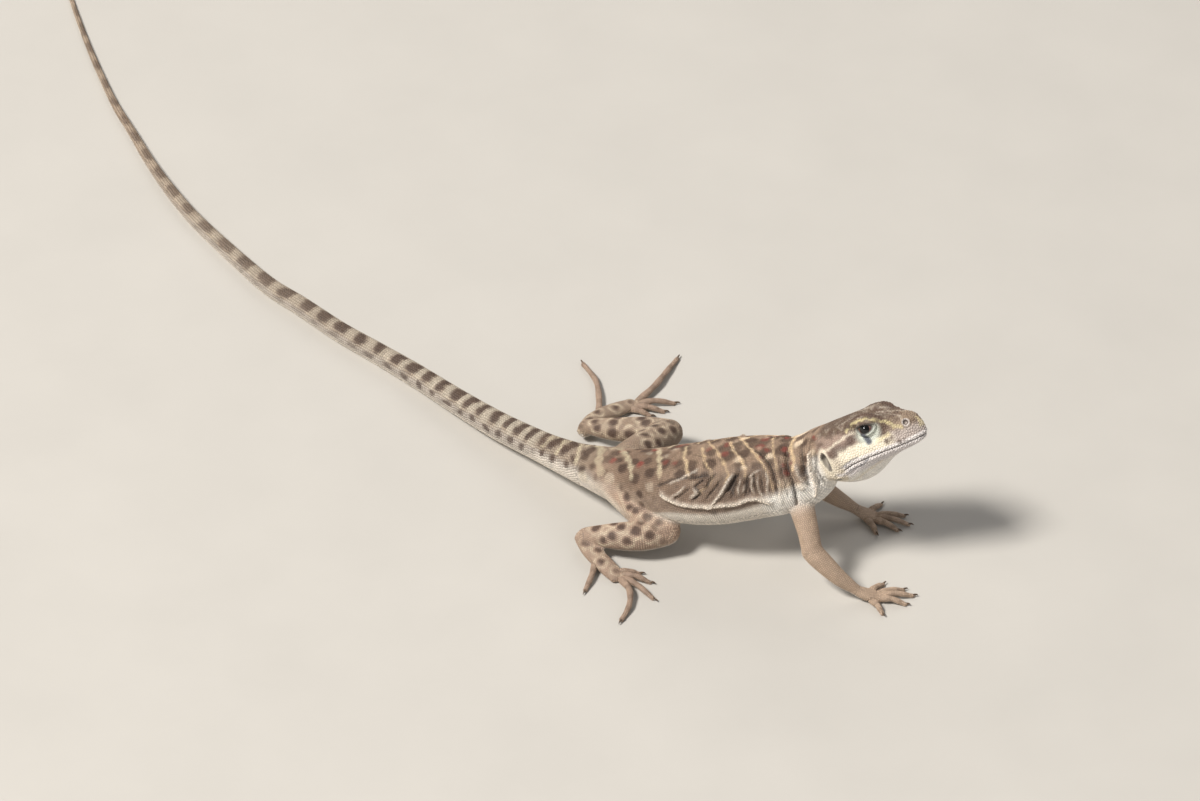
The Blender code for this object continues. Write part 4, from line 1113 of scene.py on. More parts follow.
def limb_colours(name, points, place, angle):
    """Tan legs, pale beneath, with round spots in a paler net on the hind legs."""
    height = side_height(angle)
    arm = name.endswith(("arm", "palm")) or "finger" in name
    # Whole pieces made lighter or darker: painted shade on the far hind leg, painted light on the near thigh
    # beside its own pale tone
    colours = np.tile(FOREARM if arm else LEG, (len(points), 1)) * LEG_TONE_AND_PAINTED_LIGHT.get(name, (1, 1, 1))
    if name in LEG_SPOTS:
        gap = leg_spot_gap(name, shaken(points, 0.14, 2.0, 61))
        net = (0.5 + 0.25 * uneven(points, 2.4, 71)) * ease((gap - 0.2) / 0.5) * ease((1.5 - gap) / 0.7)
        colours = painted(colours, (LEG_PALE, net), (LEG_SPOT, 0.92 * ease((0.40 - gap) / 0.84)))
    if name.endswith("thigh"):
        front = 0.8 * ease((20 - height) / 30) * ease((2.4 - place) / 1.2)
        colours = mix(colours, THROAT * 0.35 + LEG_PALE * 0.65, front)
    if "toe" in name or "finger" in name:
        colours = mix(colours, SPOT, 0.25 * ease((np.sin(place * 9) - 0.3) / 0.5))
    if name.endswith("upper_arm"):
        colours = mix(colours, THROAT, 0.6 * ease((1.6 - place) / 1.2))
    return mix(colours, BELLY, ease((-22 - height) / 26) * 0.9)


def leg_spot_gap(name, points):
    """Distance to the edge of the nearest spot of a leg piece; a thigh counts the hip's spots too."""
    rows = np.array(LEG_SPOTS[name])
    centres = FLESH[name].points(rows[:, 0], np.radians(rows[:, 1]))
    if name.endswith("thigh"):
        hip = np.array(HIP_SPOTS)
        degrees = hip[:, 1] if name.startswith("right") else 180 - hip[:, 1]
        centres = np.concatenate((centres, BODY.points(hip[:, 0], np.radians(degrees), 0.6)))
        rows = np.concatenate((rows, hip))
    return np.min([
        np.linalg.norm(points - centre, axis=1) - radius * 1.18
        for centre, radius in zip(centres, rows[:, 2])], axis=0)


# Brown blots of the head: place, radius in mm, strength
HEAD_SPOTS = (
    ((5.0, 8.4, -0.5), 1.20, 0.80), ((6.5, 8.2, 0.5), 0.80, 0.45), ((8.0, 7.8, 0.1), 0.75, 0.40),
    ((9.4, 7.2, 1.3), 1.10, 0.92), ((8.1, 6.5, 3.2), 0.5, 0.7), ((6.8, 6.3, 3.7), 0.4, 0.6),
    ((4.8, 6.0, 3.7), 0.75, 0.8), ((3.0, 3.5, 4.6), 0.55, 0.7), ((7.3, 5.2, 4.8), 0.5, 0.7),
    ((9.9, 6.1, 4.1), 0.5, 0.7), ((1.6, 7.1, 1.9), 0.7, 0.8), ((1.2, 7.6, 0.9), 0.6, 0.7),
    ((0.2, 7.4, 0.2), 0.6, 0.8), ((-1.0, 6.9, 1.6), 1.0, 0.7), ((0.4, 7.7, -1.6), 0.42, 1.0),
    ((-0.8, 7.7, -2.2), 0.6, 0.9), ((17.7, 5.6, -1.1), 0.62, 0.85), ((18.8, 5.2, -0.7), 0.45, 0.7),
    ((20.6, 4.5, 0.1), 0.7, 0.35), ((20.3, 4.7, -2.0), 0.45, 0.8), ((21.4, 4.3, -1.8), 0.4, 0.6),
    ((10.6, 4.8, 5.5), 0.5, 0.6), ((13.9, 1.8, 5.1), 0.6, 0.7), ((16.7, 0.5, 4.4), 0.6, 0.6),
    ((19.1, 2.6, 3.7), 0.7, 0.75), ((19.3, 0.6, 3.8), 0.6, 0.7), ((16.9, 2.1, 4.5), 0.5, 0.5),
    ((8.6, 1.4, 5.2), 0.6, 0.5), ((9.1, 4.7, 5.3), 0.4, 0.5), ((11.4, 0.4, 5.0), 0.6, 0.5),
    ((6.2, 2.4, 5.2), 0.7, 0.5), ((5.0, 0.3, 4.9), 0.6, 0.45), ((20.7, 3.0, 3.0), 0.7, 0.6),
    ((23.9, 1.9, 1.5), 0.8, 0.45), ((22.0, 0.8, 3.1), 0.55, 0.4), ((2.2, 1.4, 4.7), 0.8, 0.5),
    ((16.9, 5.2, 2.0), 0.4, 0.5),
)
# Streaks of the head: colour, half width, strength, then the line
HEAD_STREAKS = (
    (RIDGE, 0.30, 0.38, ((7.0, 5.3, 4.9), (8.6, 3.6, 5.2), (11.2, 2.4, 5.2), (13.9, 1.9, 5.0),
                         (16.9, 2.5, 4.6))),
    # Painted shadow: the dark crescent in the sunk groove along the inside of the brow
    (BLOTCH, 0.50, 0.90, ((9.4, 4.2, 5.3), (11.6, 3.9, 5.6), (14.4, 4.1, 5.6), (16.5, 4.1, 4.9),
                          (17.9, 4.2, 3.9))),
    (RIDGE, 0.26, 0.36, ((14.2, 0.5, 5.0), (17.3, 0.9, 4.3), (20.7, 1.5, 3.4), (21.6, 2.8, 2.7))),
    (YELLOW, 0.27, 0.90, ((8.9, 6.4, 3.5), (10.5, 6.0, 4.6), (11.7, 5.9, 5.05), (13.0, 5.9, 5.15),
                          (14.8, 5.6, 4.95), (16.1, 5.2, 4.4), (17.2, 4.7, 3.7), (18.6, 4.3, 3.0))),
    (YELLOW, 0.40, 0.60, ((18.6, 4.3, 2.8), (20.1, 4.1, 1.6), (21.4, 3.7, 1.2))),
    (YELLOW, 0.34, 0.70, ((24.2, 0.0, 1.5), (24.8, 0.3, 0.6), (25.1, 0.6, -0.2))),
    (CHEEK, 0.34, 0.60, ((10.6, 6.4, 3.0), (8.6, 6.8, 2.5), (6.7, 7.4, 1.7), (4.4, 8.0, 0.8),
                         (2.6, 8.1, 0.2))),
    (YELLOW, 0.45, 0.55, ((18.3, 5.1, 0.2), (16.7, 5.7, -0.1), (15.3, 6.0, -0.3))),
    (BLOTCH, 0.26, 0.75, ((18.1, 4.6, 2.3), (17.3, 5.1, 1.4), (16.4, 5.6, 0.7), (15.1, 6.0, 0.3))),
    (BLOTCH, 0.85, 0.48, ((4.8, 8.4, -0.6), (7.4, 7.9, 0.3), (9.6, 7.2, 1.3))),
    (SLATE, 0.20, 0.70, ((5.6, 8.5, -4.3), (7.9, 8.4, -3.3), (10.3, 7.9, -2.8))),
    (SLATE, 0.30, 0.60, ((12.0, 7.0, -4.3), (9.2, 7.3, -5.3), (7.0, 7.7, -5.8), (4.4, 7.9, -6.3))),
    (JAW, 0.60, 0.60, ((3.9, 7.8, -6.2), (7.2, 7.4, -6.2), (11.0, 6.4, -6.0), (16.0, 4.9, -4.8))),
    (SLATE, 0.30, 0.80, ((3.8, 6.6, -7.2), (1.6, 5.4, -7.6), (-0.4, 5.4, -7.4))),
    (CHEEK, 0.40, 0.60, ((2.5, 4.1, -8.6), (6.7, 4.6, -8.4), (9.7, 5.0, -7.4), (14.2, 4.4, -5.9))),
    (SLATE, 0.22, 0.25, ((16.0, 2.0, -6.4), (10.0, 2.6, -9.4), (4.0, 3.0, -10.0))),
)


def head_colours(points):
    """Marbled tan crown, yellow brows, pale cheeks with brown blots, pale lips and throat."""
    side = mirrored(to_head(shaken(points, 0.16, 1.8, 81)))
    exact = mirrored(to_head(points))
    x, _, z = side.T
    gap, there = mouth_gap(exact)
    marble = uneven(points, 2.8, 91)
    dark_crown = ease((marble - 0.25) / 0.5) * ease((z - 2.2) / 1.5) * (0.50 + 0.1 * ease((x - 8) / 4))
    dark_temple = 0.22 * ease((marble - 0.2) / 0.5) * ease((4.5 - z) / 1.5) * ease((9 - x) / 3)
    colours = painted(
        np.tile(CROWN, (len(points), 1)),
        (TEMPLE, ease((3.8 - z) / 1.4) * ease((12 - x) / 2)),
        (SNOUT, ease((x - 17) / 4)),
        (MUZZLE, ease((x - 17) / 3) * ease((1.6 - z) / 1.6)),
        (BLOTCH, dark_crown),
        (BLOTCH, dark_temple),
        (RIDGE, ease((-marble - 0.3) / 0.5) * ease((z - 2.6) / 1.0) * 0.14),
        (CHEEK, ease((0.9 - z) / 1.4) * ease((x - 4.0) / 3) * ease((20.5 - x) / 3)),
        (CHEEK, ease((-0.8 - z) / 1.2) * ease((7 - x) / 3) * 0.85),
        (LIP, ease((1.3 - gap) / 0.5) * there),
        (JAW, ease((-gap - 0.2) / 0.6) * there),
        (THROAT, ease((-gap - 1.6) / 1.4)))
    for colour, width, strength, line in HEAD_STREAKS:
        reach = reach_over(side, dense_path(line, 0.1))
        colours = mix(colours, colour, strength * filled(reach, width, 0.22 + 0.3 * width))
    for centre, radius, strength in HEAD_SPOTS:
        reach = reach_over(side, np.array([centre]))
        colours = mix(colours, BLOTCH, strength * filled(reach, radius, 0.22 + 0.35 * radius))
    rust = 0.8 * ease((0.85 - np.linalg.norm(side - (0.0, 5.3, 3.2), axis=1)) / 0.5)
    return face_details(mix(colours, RUST, rust), exact, gap, there)


def face_details(colours, side, gap, there):
    """Lids, the dark bar under the eye, nostril rims, ear, and painted shade in the nostril, in the ear's
    opening and in the crease of the mouth.
    """
    x, y, z = side.T
    ring, radius = eye_ring(side)
    near_eye = radius < EYE_ZONE
    zone = np.hypot((x - 13.9) / 3.2, (z - 2.0) / 3.0)
    bar, _ = nearest(side * (1, 0, 1), dense_path(((13.0, 0, 2.0), (13.3, 0, 0.9), (13.7, 0, -0.1))))
    nostril = np.linalg.norm(side - NOSTRIL, axis=1)
    ear = ear_ring(side)
    rear = ease((x - EAR[0] + 0.05 - 0.24 * (z - EAR[2])) / 0.5)
    slit = (ear < 1.12) * np.maximum(rear, ease((z - EAR[2] - 0.2) / 0.9))
    return painted(
        colours,
        (LID, 0.85 * ease((1.15 - zone) / 0.6) * ease((4.3 - z) / 1.0) * (y > 3)),
        (SLATE, 0.92 * ease((1.05 - bar) / 0.75) * (y > 4.5)),
        (DEEP, 0.8 * ease((1.07 - ring) / 0.10) * near_eye),
        (DEEP, 0.85 * bump(ring - 1.12, 0.16) * ease((z - 3.2) / 0.5) * near_eye),
        (LIP, 0.70 * ease((1.10 - nostril) / 0.4)),
        # Painted shade inside the nostril
        (NOSTRIL_SHADE, 0.95 * ease((0.74 - nostril) / 0.16)),
        (CHEEK, 0.8 * bump(ear - 1.3, 0.28)),
        (EAR_DRUM, ease((1.05 - ear) / 0.25)),
        # Painted shadow inside the ear's opening, over its front and upper part
        (DEEP, 0.70 * slit),
        # Painted shade in the crease of the mouth
        (MOUTH_CREASE_SHADE, (0.75 - 0.3 * ease((x - 12) / 4)) * there * bump(gap, 0.15)))


def regions(points):
    """Place, angle and distance off it on every tube of flesh for every point, and the distances apart."""
    found = [tube.locate(points) for tube in TUBES.values()]
    return found, np.array([row[2] for row in found])


def coat_colours(points):
    """The markings' colour at every point, the pieces of flesh fading into one another."""
    found, offs = regions(points)
    weights = np.exp(-(offs - offs.min(0)) / 0.45)
    weights[weights < 0.02] = 0
    weights /= weights.sum(0)
    colours = np.zeros((len(points), 3))
    for name, (place, angle, _), weight in zip(TUBES, found, weights):
        some = np.flatnonzero(weight > 0)
        if not len(some):
            continue
        where = points[some], place[some], angle[some]
        shade = body_colours(*where) if name == "body" else limb_colours(name, *where)
        colours[some] += shade * weight[some, None]
    head = ease((to_head(points)[:, 0] + 0.6) / 2.0) * on_head(points, -0.6)
    some = np.flatnonzero(head > 0)
    colours[some] = mix(colours[some], head_colours(points[some]), head[some])
    return colours


# Where the scales stand

def lattice(tube, size, start, end, stagger=0.5):
    """Rows of roots round a tube, each a part of a step off the last, evenly spaced along each ring."""
    first, last = np.interp((start, end), tube.stops, tube.lengths)
    places = np.interp(np.arange(first, last, size * ROW_SHARE), tube.lengths, tube.stops)
    turn = np.linspace(0, 2 * math.pi, 121)
    roots = []
    for row, place in enumerate(places):
        ring = tube.points(np.full(len(turn), place), turn)
        along = distances(ring)
        count = max(int(round(along[-1] / size)), 5)
        jitter = rng.uniform(-0.06, 0.06, count)
        stops = (np.arange(count) + stagger * (row % 2) + jitter) / count * along[-1]
        roots.append(walked(ring, along, stops % along[-1]))
    return np.concatenate(roots)


def scale_size(points):
    """Spacing of scales, coarse on belly and tail and fine on flanks and digits, and where they stand."""
    found, offs = regions(points)
    pick = offs.argmin(0)
    every = np.arange(len(points))
    place, angle = (np.array([row[item] for row in found])[pick, every] for item in (0, 1))
    size = np.full(len(points), LEG_SPACING)
    body = pick == 0
    height = side_height(angle)
    size[body] = TRUNK_SPACING + 0.44 * ease((-24 - height[body]) / 12) * ease(place[body] - 19)
    tail = body & (place < TAIL_WHORLS)
    size[tail] = TAIL_SPACING - 0.20 * ease((3 - place[tail]) / 3)
    size[pick > len(FLESH)] = DIGIT_SPACING
    return size, pick, place, angle


def sprinkled(mesh, wanted, crowd):
    """Random places over the wanted faces, so many to the square mm, with their blended normals."""
    mesh.calc_loop_triangles()
    corners = read(mesh.loop_triangles, "vertices", 3, np.int32)
    places, normals = mesh_points(mesh), mesh_normals(mesh)
    corners = corners[wanted(places[corners].mean(1))]
    edges = places[corners]
    area = np.linalg.norm(np.cross(edges[:, 1] - edges[:, 0], edges[:, 2] - edges[:, 0]), axis=1) / 2
    heap = np.cumsum(area)
    picks = np.searchsorted(heap, rng.uniform(0, heap[-1], int(heap[-1] * crowd)))
    share = rng.uniform(0, 1, (len(picks), 2))
    share = np.where(share.sum(1, keepdims=True) > 1, 1 - share, share)
    share = np.column_stack((share, 1 - share.sum(1)))[..., None]
    picks = corners[picks]
    return (places[picks] * share).sum(1), unit((normals[picks] * share).sum(1))


def room(points, count=5):
    """Mean distance from every point to its nearest few others."""
    tree = KDTree(len(points))
    for number, point in enumerate(points.tolist()):
        tree.insert(point, number)
    tree.balance()
    totals = [sum(hit[2] for hit in tree.find_n(point, count + 1)) for point in points.tolist()]
    return np.array(totals) / count


def crowded(grid, key, spot, limit):
    """Whether a kept point of the cells round the spot stands nearer than the squared limit."""
    for i, j, k in itertools.product((-1, 0, 1), repeat=3):
        for other in grid.get((key[0] + i, key[1] + j, key[2] + k), ()):
            gap = (spot[0] - other[0]) ** 2 + (spot[1] - other[1]) ** 2 + (spot[2] - other[2]) ** 2
            if gap < limit:
                return True
    return False


def settled(points, reach):
    """Keep points in order wherever none kept before stands nearer than their reach, below 1 mm."""
    kept, grid = [], {}
    keys = np.floor(points).astype(int).tolist()
    for index, (key, spot, limit) in enumerate(zip(keys, points.tolist(), (reach ** 2).tolist())):
        if not crowded(grid, key, spot, limit):
            kept.append(index)
            grid.setdefault(tuple(key), []).append(spot)
    return np.array(kept)


def dropped_on(tree, points):
    """Nearest skin point, its normal and the distance, for every root."""
    found = [tree.find_nearest(point) for point in points.tolist()]
    places = np.array([hit[0] for hit in found])
    normals = np.array([hit[1] for hit in found])
    return places, normals, np.array([hit[3] for hit in found])


def body_roots(mesh, tree):
    """Roots of all scales but the head's: rows on every tube, then fillers where joints leave room."""
    belly = lattice(BODY, BELLY_SPACING, 19.0, 30.9)
    back = lattice(BODY, TRUNK_SPACING, TAIL_WHORLS, 31.2)
    tail = lattice(BODY, TAIL_SPACING, 0.3, TAIL_WHORLS, 0.0)
    rows = []
    for roots, under in ((belly, True), (back, False), (tail, False)):
        place, angle, _ = BODY.locate(roots)
        low = side_height(angle) < -30
        rows.append(roots[low if under else ~(low & (place > 19.5))])
    rows += [lattice(tube, LEG_SPACING, 0.0, tube.last) for tube in FLESH.values()]
    rows += [lattice(tube, DIGIT_SPACING, 0.0, tube.last) for tube in DIGITS.values()]
    places, normals, gaps = dropped_on(tree, np.concatenate(rows))
    keep = gaps < 1.3
    places, normals = places[keep], normals[keep]
    spare, spare_normals = sprinkled(mesh, lambda spots: np.ones(len(spots), bool), FILLERS)
    taken = np.repeat((0.66, 0.80), (len(places), len(spare)))
    places, normals = np.concatenate((places, spare)), np.concatenate((normals, spare_normals))
    keep = ~on_head(places, 0.9) & (places[:, 2] > 0.05)
    places, normals = places[keep], normals[keep]
    size, pick, place, angle = scale_size(places)
    kept = settled(places, size * taken[keep])
    size = size[kept]
    size = np.clip(room(places[kept]), 0.72 * size, 1.25 * size)
    return places[kept], normals[kept], size, pick[kept], place[kept], angle[kept]


def lie_of(points, pick, place):
    """The way the scales point at each root: down the tail, or down the limb to the claws."""
    way = np.zeros((len(points), 3))
    for number, (name, tube) in enumerate(TUBES.items()):
        some = pick == number
        if some.any():
            forward = tube.sections(place[some])[1]
            way[some] = -forward if name == "body" else forward
    return way


# Scales as meshes

# Corners round a scale: six of a hexagon, or six of a blunt oblong for the tail's rings
HEXAGON = [(math.cos(turn), math.sin(turn)) for turn in around(6)]
OBLONG = [(1.0, 0.0), (0.92, 0.96), (-0.92, 0.96), (-1.0, 0.0), (-0.92, -0.96), (0.92, -0.96)]
# Form of each kind: corners; rim's half length and width, height and slope; the shoulder's, with its
# shift to the rear; the crest's place and height
SCALE_FORMS = {
    "keeled": (HEXAGON, (1.15, 0.96, -0.7, 0.0), (0.92, 0.66, 0.06, 0.35, 0.25), (0.30, 1.1)),
    "whorl": (OBLONG, (0.98, 1.06, -0.6, 0.45), (0.80, 0.84, 0.07, 0.36, 0.66), (0.30, 1.0)),
    "flat": (HEXAGON, (1.12, 1.0, -0.7, 0.0), (0.94, 0.82, 0.06, 0.55, 0.35), (0.10, 0.8)),
    "granule": (HEXAGON, (1.06, 1.0, -0.7, 0.0), (0.74, 0.68, 0.04, 0.62, 0.12), (0.10, 1.0)),
}


def scale_form(kind):
    """Points and faces of one scale, two long and two wide: a rim, a shoulder, a crest and a flat foot."""
    corners, (long, wide, low, slope), (inner, narrow, shift, high, lean), (back, top) = SCALE_FORMS[kind]
    ring = np.array(corners)
    rim = np.column_stack((ring * (long, wide), low + slope * ring[:, 0]))
    shoulder = np.column_stack((ring * (inner, narrow) + (shift, 0), high + lean * ring[:, 0]))
    form = np.concatenate((rim, shoulder, ((back, 0.0, top),)))
    step = np.arange(6)
    turn = (step + 1) % 6
    sides = np.stack((step, turn, turn + 6, step + 6), 1)
    cap = np.stack((np.full(6, 12), step + 6, turn + 6), 1)
    foot = step[::-1][None]
    return form, [sides, cap, foot]


def axes_on(normals, ways):
    """The ways laid flat against the surface, and the directions across them."""
    ways = unit(ways - normals * (ways * normals).sum(1, keepdims=True))
    return ways, np.cross(normals, ways)


def coat_mesh(name, places, polygons, shade, patch):
    """One mesh of many like scales, from their points, colours and bake places and one scale's faces."""
    count, size, _ = places.shape
    base = (np.arange(count) * size)[:, None, None]
    faces = [(part[None] + base).reshape(-1, part.shape[1]) for part in polygons]
    mesh = make_mesh(name, (places.reshape(-1, 3) + SHIFT) * MM, faces)
    finish_mesh(mesh, shade.reshape(-1, 3), patch.reshape(-1, 2))
    return mesh


def parts_of(name, count, triangles):
    """Names and picks of the pieces that a coat of so many scales is split into."""
    split = np.array_split(np.arange(count), max(1, math.ceil(count * triangles / PIECE_TRIANGLES)))
    return [(name + ("_" + str(part + 1) if part else ""), picks) for part, picks in enumerate(split)]


def plant(name, kind, high, points, normals, ways, sizes, colours, spots):
    """Copies of one form on many roots: root plus its long, cross and standing ways times the form."""
    form, polygons = scale_form(kind)
    ways, cross = axes_on(normals, ways)
    long_side = form[None, :, 0:1] * sizes[:, None, None] * 0.5
    wide_side = form[None, :, 1:2] * sizes[:, None, None] * 0.5
    stand = form[None, :, 2:3] * (sizes * high)[:, None, None]
    places = points[:, None] + ways[:, None] * long_side + cross[:, None] * wide_side
    places = places + normals[:, None] * stand
    places[..., 2] = np.maximum(places[..., 2], 0.0)
    # Painted shade and highlight: each point of a scale darker the lower it stands in the form, dark at the
    # tucked rim and light on the crest
    level = np.interp(form[:, 2], (-0.7, 0.4, 1.0), (0.56, 0.94, 1.08))
    shade = colours[:, None] * level[None, :, None]
    return coat_mesh(name, places, polygons, shade, spots[:, None] + form[None, :, :2] * PATCH)


def finish_mesh(mesh, colours, patch=None):
    """Smooth faces, the markings as a colour attribute, and the bake map where one is given."""
    mesh.polygons.foreach_set("use_smooth", np.ones(len(mesh.polygons), bool))
    layer = mesh.color_attributes.new("markings", "FLOAT_COLOR", "POINT")
    opaque = np.column_stack((colours, np.ones(len(colours))))
    layer.data.foreach_set("color", opaque.astype(np.float32).ravel())
    if patch is not None:
        corners = read(mesh.loops, "vertex_index", 1, np.int32)[:, 0]
        uv = mesh.uv_layers.new(name="OFBake")
        uv.uv.foreach_set("vector", patch[corners].astype(np.float32).ravel())
    mesh.update()


def bake_places(name, pick, place, angle):
    """Each scale's place on its coat's bake map: along and round the body, or in its leg piece's cell."""
    round_part = (angle / (2 * math.pi)) % 1
    if name == "leg_scales":
        row, column = np.divmod(pick - 1, 6)
        lasts = np.array([tube.last for tube in TUBES.values()])[pick]
        spots = np.stack(((column + 0.05 + 0.9 * place / lasts) / 6, (row + round_part * 0.9) / 6), 1)
    elif name == "tail_scales":
        spots = np.stack((place / TAIL_WHORLS, round_part), 1)
    else:
        spots = np.stack(((place - TAIL_WHORLS) / (BODY.last - TAIL_WHORLS), round_part), 1)
    return 0.01 + 0.98 * np.clip(spots, 0, 1)


def body_scales(mesh, tree):
    """Scale meshes of the trunk, the tail and the legs, with their bake maps."""
    points, normals, sizes, pick, place, angle = body_roots(mesh, tree)
    ways = lie_of(points, pick, place)
    colours = coat_colours(points) * rng.normal(1.0, 0.06, (len(points), 1))
    body = pick == 0
    tail = body & (place < TAIL_WHORLS)
    belly = body & ~tail & (side_height(angle) < -28)
    made = []
    for name, chosen, kind, high, slot in (
            ("trunk_scales", body & ~tail & ~belly, "granule", 0.30, "body_skin"),
            ("belly_scales", belly, "flat", 0.16, "body_skin"),
            ("tail_scales", tail, "whorl", 0.30, "body_skin"),
            ("leg_scales", ~body, "keeled", 0.22, "leg_skin")):
        some = np.flatnonzero(chosen)
        for label, picks in parts_of(name, len(some), SCALE_TRIANGLES):
            few = some[picks]
            spots = bake_places(name, pick[few], place[few], angle[few])
            piece = plant(
                label, kind, high, points[few], normals[few], ways[few], sizes[few], colours[few], spots)
            made.append((piece, slot))
    return made


def on_head(points, start=-0.5):
    """Whether points lie on the head, forward of a place on its own line."""
    local = to_head(points)
    return (local[:, 0] > start) & (local[:, 2] > HEAD_FLOOR) & (np.abs(local[:, 1]) < HEAD_WIDTH)


def head_roots(local):
    """Roots of the head's plates: rows on lips, brows and lids first, then fillers of fitting size."""
    side = mirrored(local)
    ring, radius = eye_ring(side)
    near_eye = radius < EYE_ZONE
    gap, there = mouth_gap(side)
    nostril = np.linalg.norm(side - NOSTRIL, axis=1)
    ear = ear_ring(side)
    x, y, z = side.T
    size = np.full(len(local), 0.54)
    for where, spacing in (
            (z > 3.2, 0.64 - 0.08 * ease((x - 10) / 6)),
            ((z > 3.2) & (y < 1.4) & (x > 12), 0.78),
            (gap < -1.2, 0.50),
            (((ring < 2.0) & near_eye) | (nostril < 1.25) | (ear < 1.6), 0.40)):
        size = np.where(where, spacing, size)
    rows = []
    for shift, spacing in ((0.62, 0.92), (-0.62, 0.92), (1.45, 0.78), (-1.4, 0.78)):
        spots = np.flatnonzero((np.abs(gap - shift) < 0.14) & (x > 6.8))
        rows.append((spots[np.argsort(x[spots])], spacing))
    for start, spacing in ((1.12, 0.36), (1.34, 0.40), (1.60, 0.46)):
        rows.append((np.flatnonzero((np.abs(ring - start) < 0.035) & near_eye), spacing))
    rows.append((np.flatnonzero(nearest(side, dense_path(BROW))[0] < 0.12), 0.85))
    spare = rng.permutation(np.flatnonzero((np.abs(gap) > 0.2) | (there < 0.3)))
    order = np.concatenate([picks for picks, _ in rows] + [spare])
    sizes = np.concatenate([np.full(len(picks), spacing) for picks, spacing in rows] + [size[spare]])
    bare = ((ring < 1.03) & near_eye) | (nostril < 0.74) | (ear < 0.9) | (local[:, 0] < 0.5)
    bare |= (local[:, 2] < HEAD_FLOOR) | (np.abs(local[:, 1]) > HEAD_WIDTH)
    keep = ~bare[order]
    order, sizes = order[keep], sizes[keep]
    kept = settled(local[order], sizes * 0.86)
    return order[kept], sizes[kept]


def plate_reach(points, ways, cross, star):
    """How far each plate may spread along the star's directions: half-way to its nearest neighbours."""
    square = (points ** 2).sum(1)
    reach = square[:, None] + square - 2 * points @ points.T
    np.fill_diagonal(reach, 1e9)
    near = np.argpartition(reach, 12, axis=1)[:, :12]
    out = points[near] - points[:, None]
    flat = np.stack(((out * ways[:, None]).sum(2), (out * cross[:, None]).sum(2)), -1)
    facing = np.maximum(flat @ star.T, 1e-4)
    return (0.5 * (flat ** 2).sum(2)[..., None] / facing).min(1)


def plate_polygons(steps):
    """Faces of one plate: two bands of quads, a fan round the middle point and a flat foot."""
    step = np.arange(steps)
    turn = (step + 1) % steps
    bands = [
        np.stack((step + low, turn + low, turn + low + steps, step + low + steps), 1) for low in (0, steps)]
    fan = np.stack((np.full(steps, 3 * steps), step + 2 * steps, turn + 2 * steps), 1)
    return bands + [fan, step[::-1][None]]


def plate_colours(points, places):
    """Colours of every point of the plates: the head's own markings point by point, clear of the neck."""
    colours = coat_colours(points) * rng.normal(1.0, 0.035, (len(points), 1))
    local = to_head(points)
    clear = np.flatnonzero((local[:, 0] > 1.4) & (local[:, 2] > HEAD_FLOOR + 0.1))
    fine = np.repeat(colours[:, None], places.shape[1], 1)
    plain = colours[clear] / np.maximum(head_colours(points[clear]), 1e-3)
    evened = np.clip(plain.mean(1), 0.85, 1.15)[:, None, None]
    fine[clear] = head_colours(places[clear].reshape(-1, 3)).reshape(len(clear), -1, 3) * evened
    return fine


def head_plates(mesh):
    """Plates that fill the room between neighbours: each edge lies half-way to the nearest of them."""
    points, normals = sprinkled(mesh, on_head, PLATE_CHOICES)
    picks, sizes = head_roots(to_head(points))
    points, normals = points[picks], normals[picks]
    steps = 12
    star = np.stack((np.cos(around(steps)), np.sin(around(steps))), 1)
    ways, cross = axes_on(normals, np.broadcast_to(-HEAD_FORWARD, points.shape))
    edge = np.minimum(plate_reach(points, ways, cross, star), sizes[:, None] * 0.72)
    rim = np.maximum(edge - 0.01, 0.06)
    shoulder = np.maximum(edge - 0.085, 0.04)
    high = 0.04 + 0.07 * sizes
    layers = []
    for width, rise in (
            (rim, np.full(len(points), -0.10)), (shoulder, high), (shoulder * 0.5, high * 1.35),
            (0 * rim[:, :1], high * 1.45)):
        wide = width[..., None] * star[None, :width.shape[1]]
        level = points[:, None] + ways[:, None] * wide[..., :1] + cross[:, None] * wide[..., 1:]
        layers.append(level + (normals * rise[:, None])[:, None])
    places = np.concatenate(layers, 1)
    # Painted shade and highlight: plates darker at their sunk rims and lighter on their tops
    level = np.concatenate((np.full(steps, 0.80), np.full(steps, 0.97), np.full(steps + 1, 1.03)))
    shade = plate_colours(points, places) * level[None, :, None]
    local = to_head(points)
    round_head = np.arctan2(local[:, 1], local[:, 2] + 2) / (2 * math.pi)
    spots = np.stack((0.02 + 0.96 * local[:, 0] / HEAD_LENGTH, 0.5 + round_head), 1)
    patch = spots[:, None] + np.concatenate((star, star * 0.8, star * 0.4, [[0, 0]])) * PATCH
    return [
        (coat_mesh(label, places[some], plate_polygons(steps), shade[some], patch[some]), "head_skin")
        for label, some in parts_of("head_plates", len(points), PLATE_TRIANGLES)]


# Eyes and claws

def make_eye(name, side):
    """An eyeball with a bulging front: a sphere about its own axis, raised where it looks out."""
    rings, sides = 48, 48
    lift = np.linspace(0.0, math.pi, rings)[1:-1, None]
    turn = around(sides)[None]
    way = unit(np.array(EYE_WAY) * (1, side, 1))
    along = unit(np.cross(way, UP))
    above = np.cross(way, along)
    radius = EYE_RADIUS + 0.14 * bump(lift, 0.5)
    local = EYE_MIDDLE * (1, side, 1) + radius[..., None] * (
        way * np.cos(lift)[..., None] + along * (np.sin(lift) * np.cos(turn))[..., None]
        + above * (np.sin(lift) * np.sin(turn))[..., None])
    grid = from_head(local)[::-1]
    mesh = closed_tubes(name, [(grid + SHIFT) * MM])
    lifts = np.concatenate((np.repeat(lift[::-1, 0], sides), (math.pi, 0.0)))
    layer = mesh.attributes.new("look", "FLOAT", "POINT")
    layer.data.foreach_set("value", lifts.astype(np.float32))
    mesh.polygons.foreach_set("use_smooth", np.ones(len(mesh.polygons), bool))
    return mesh


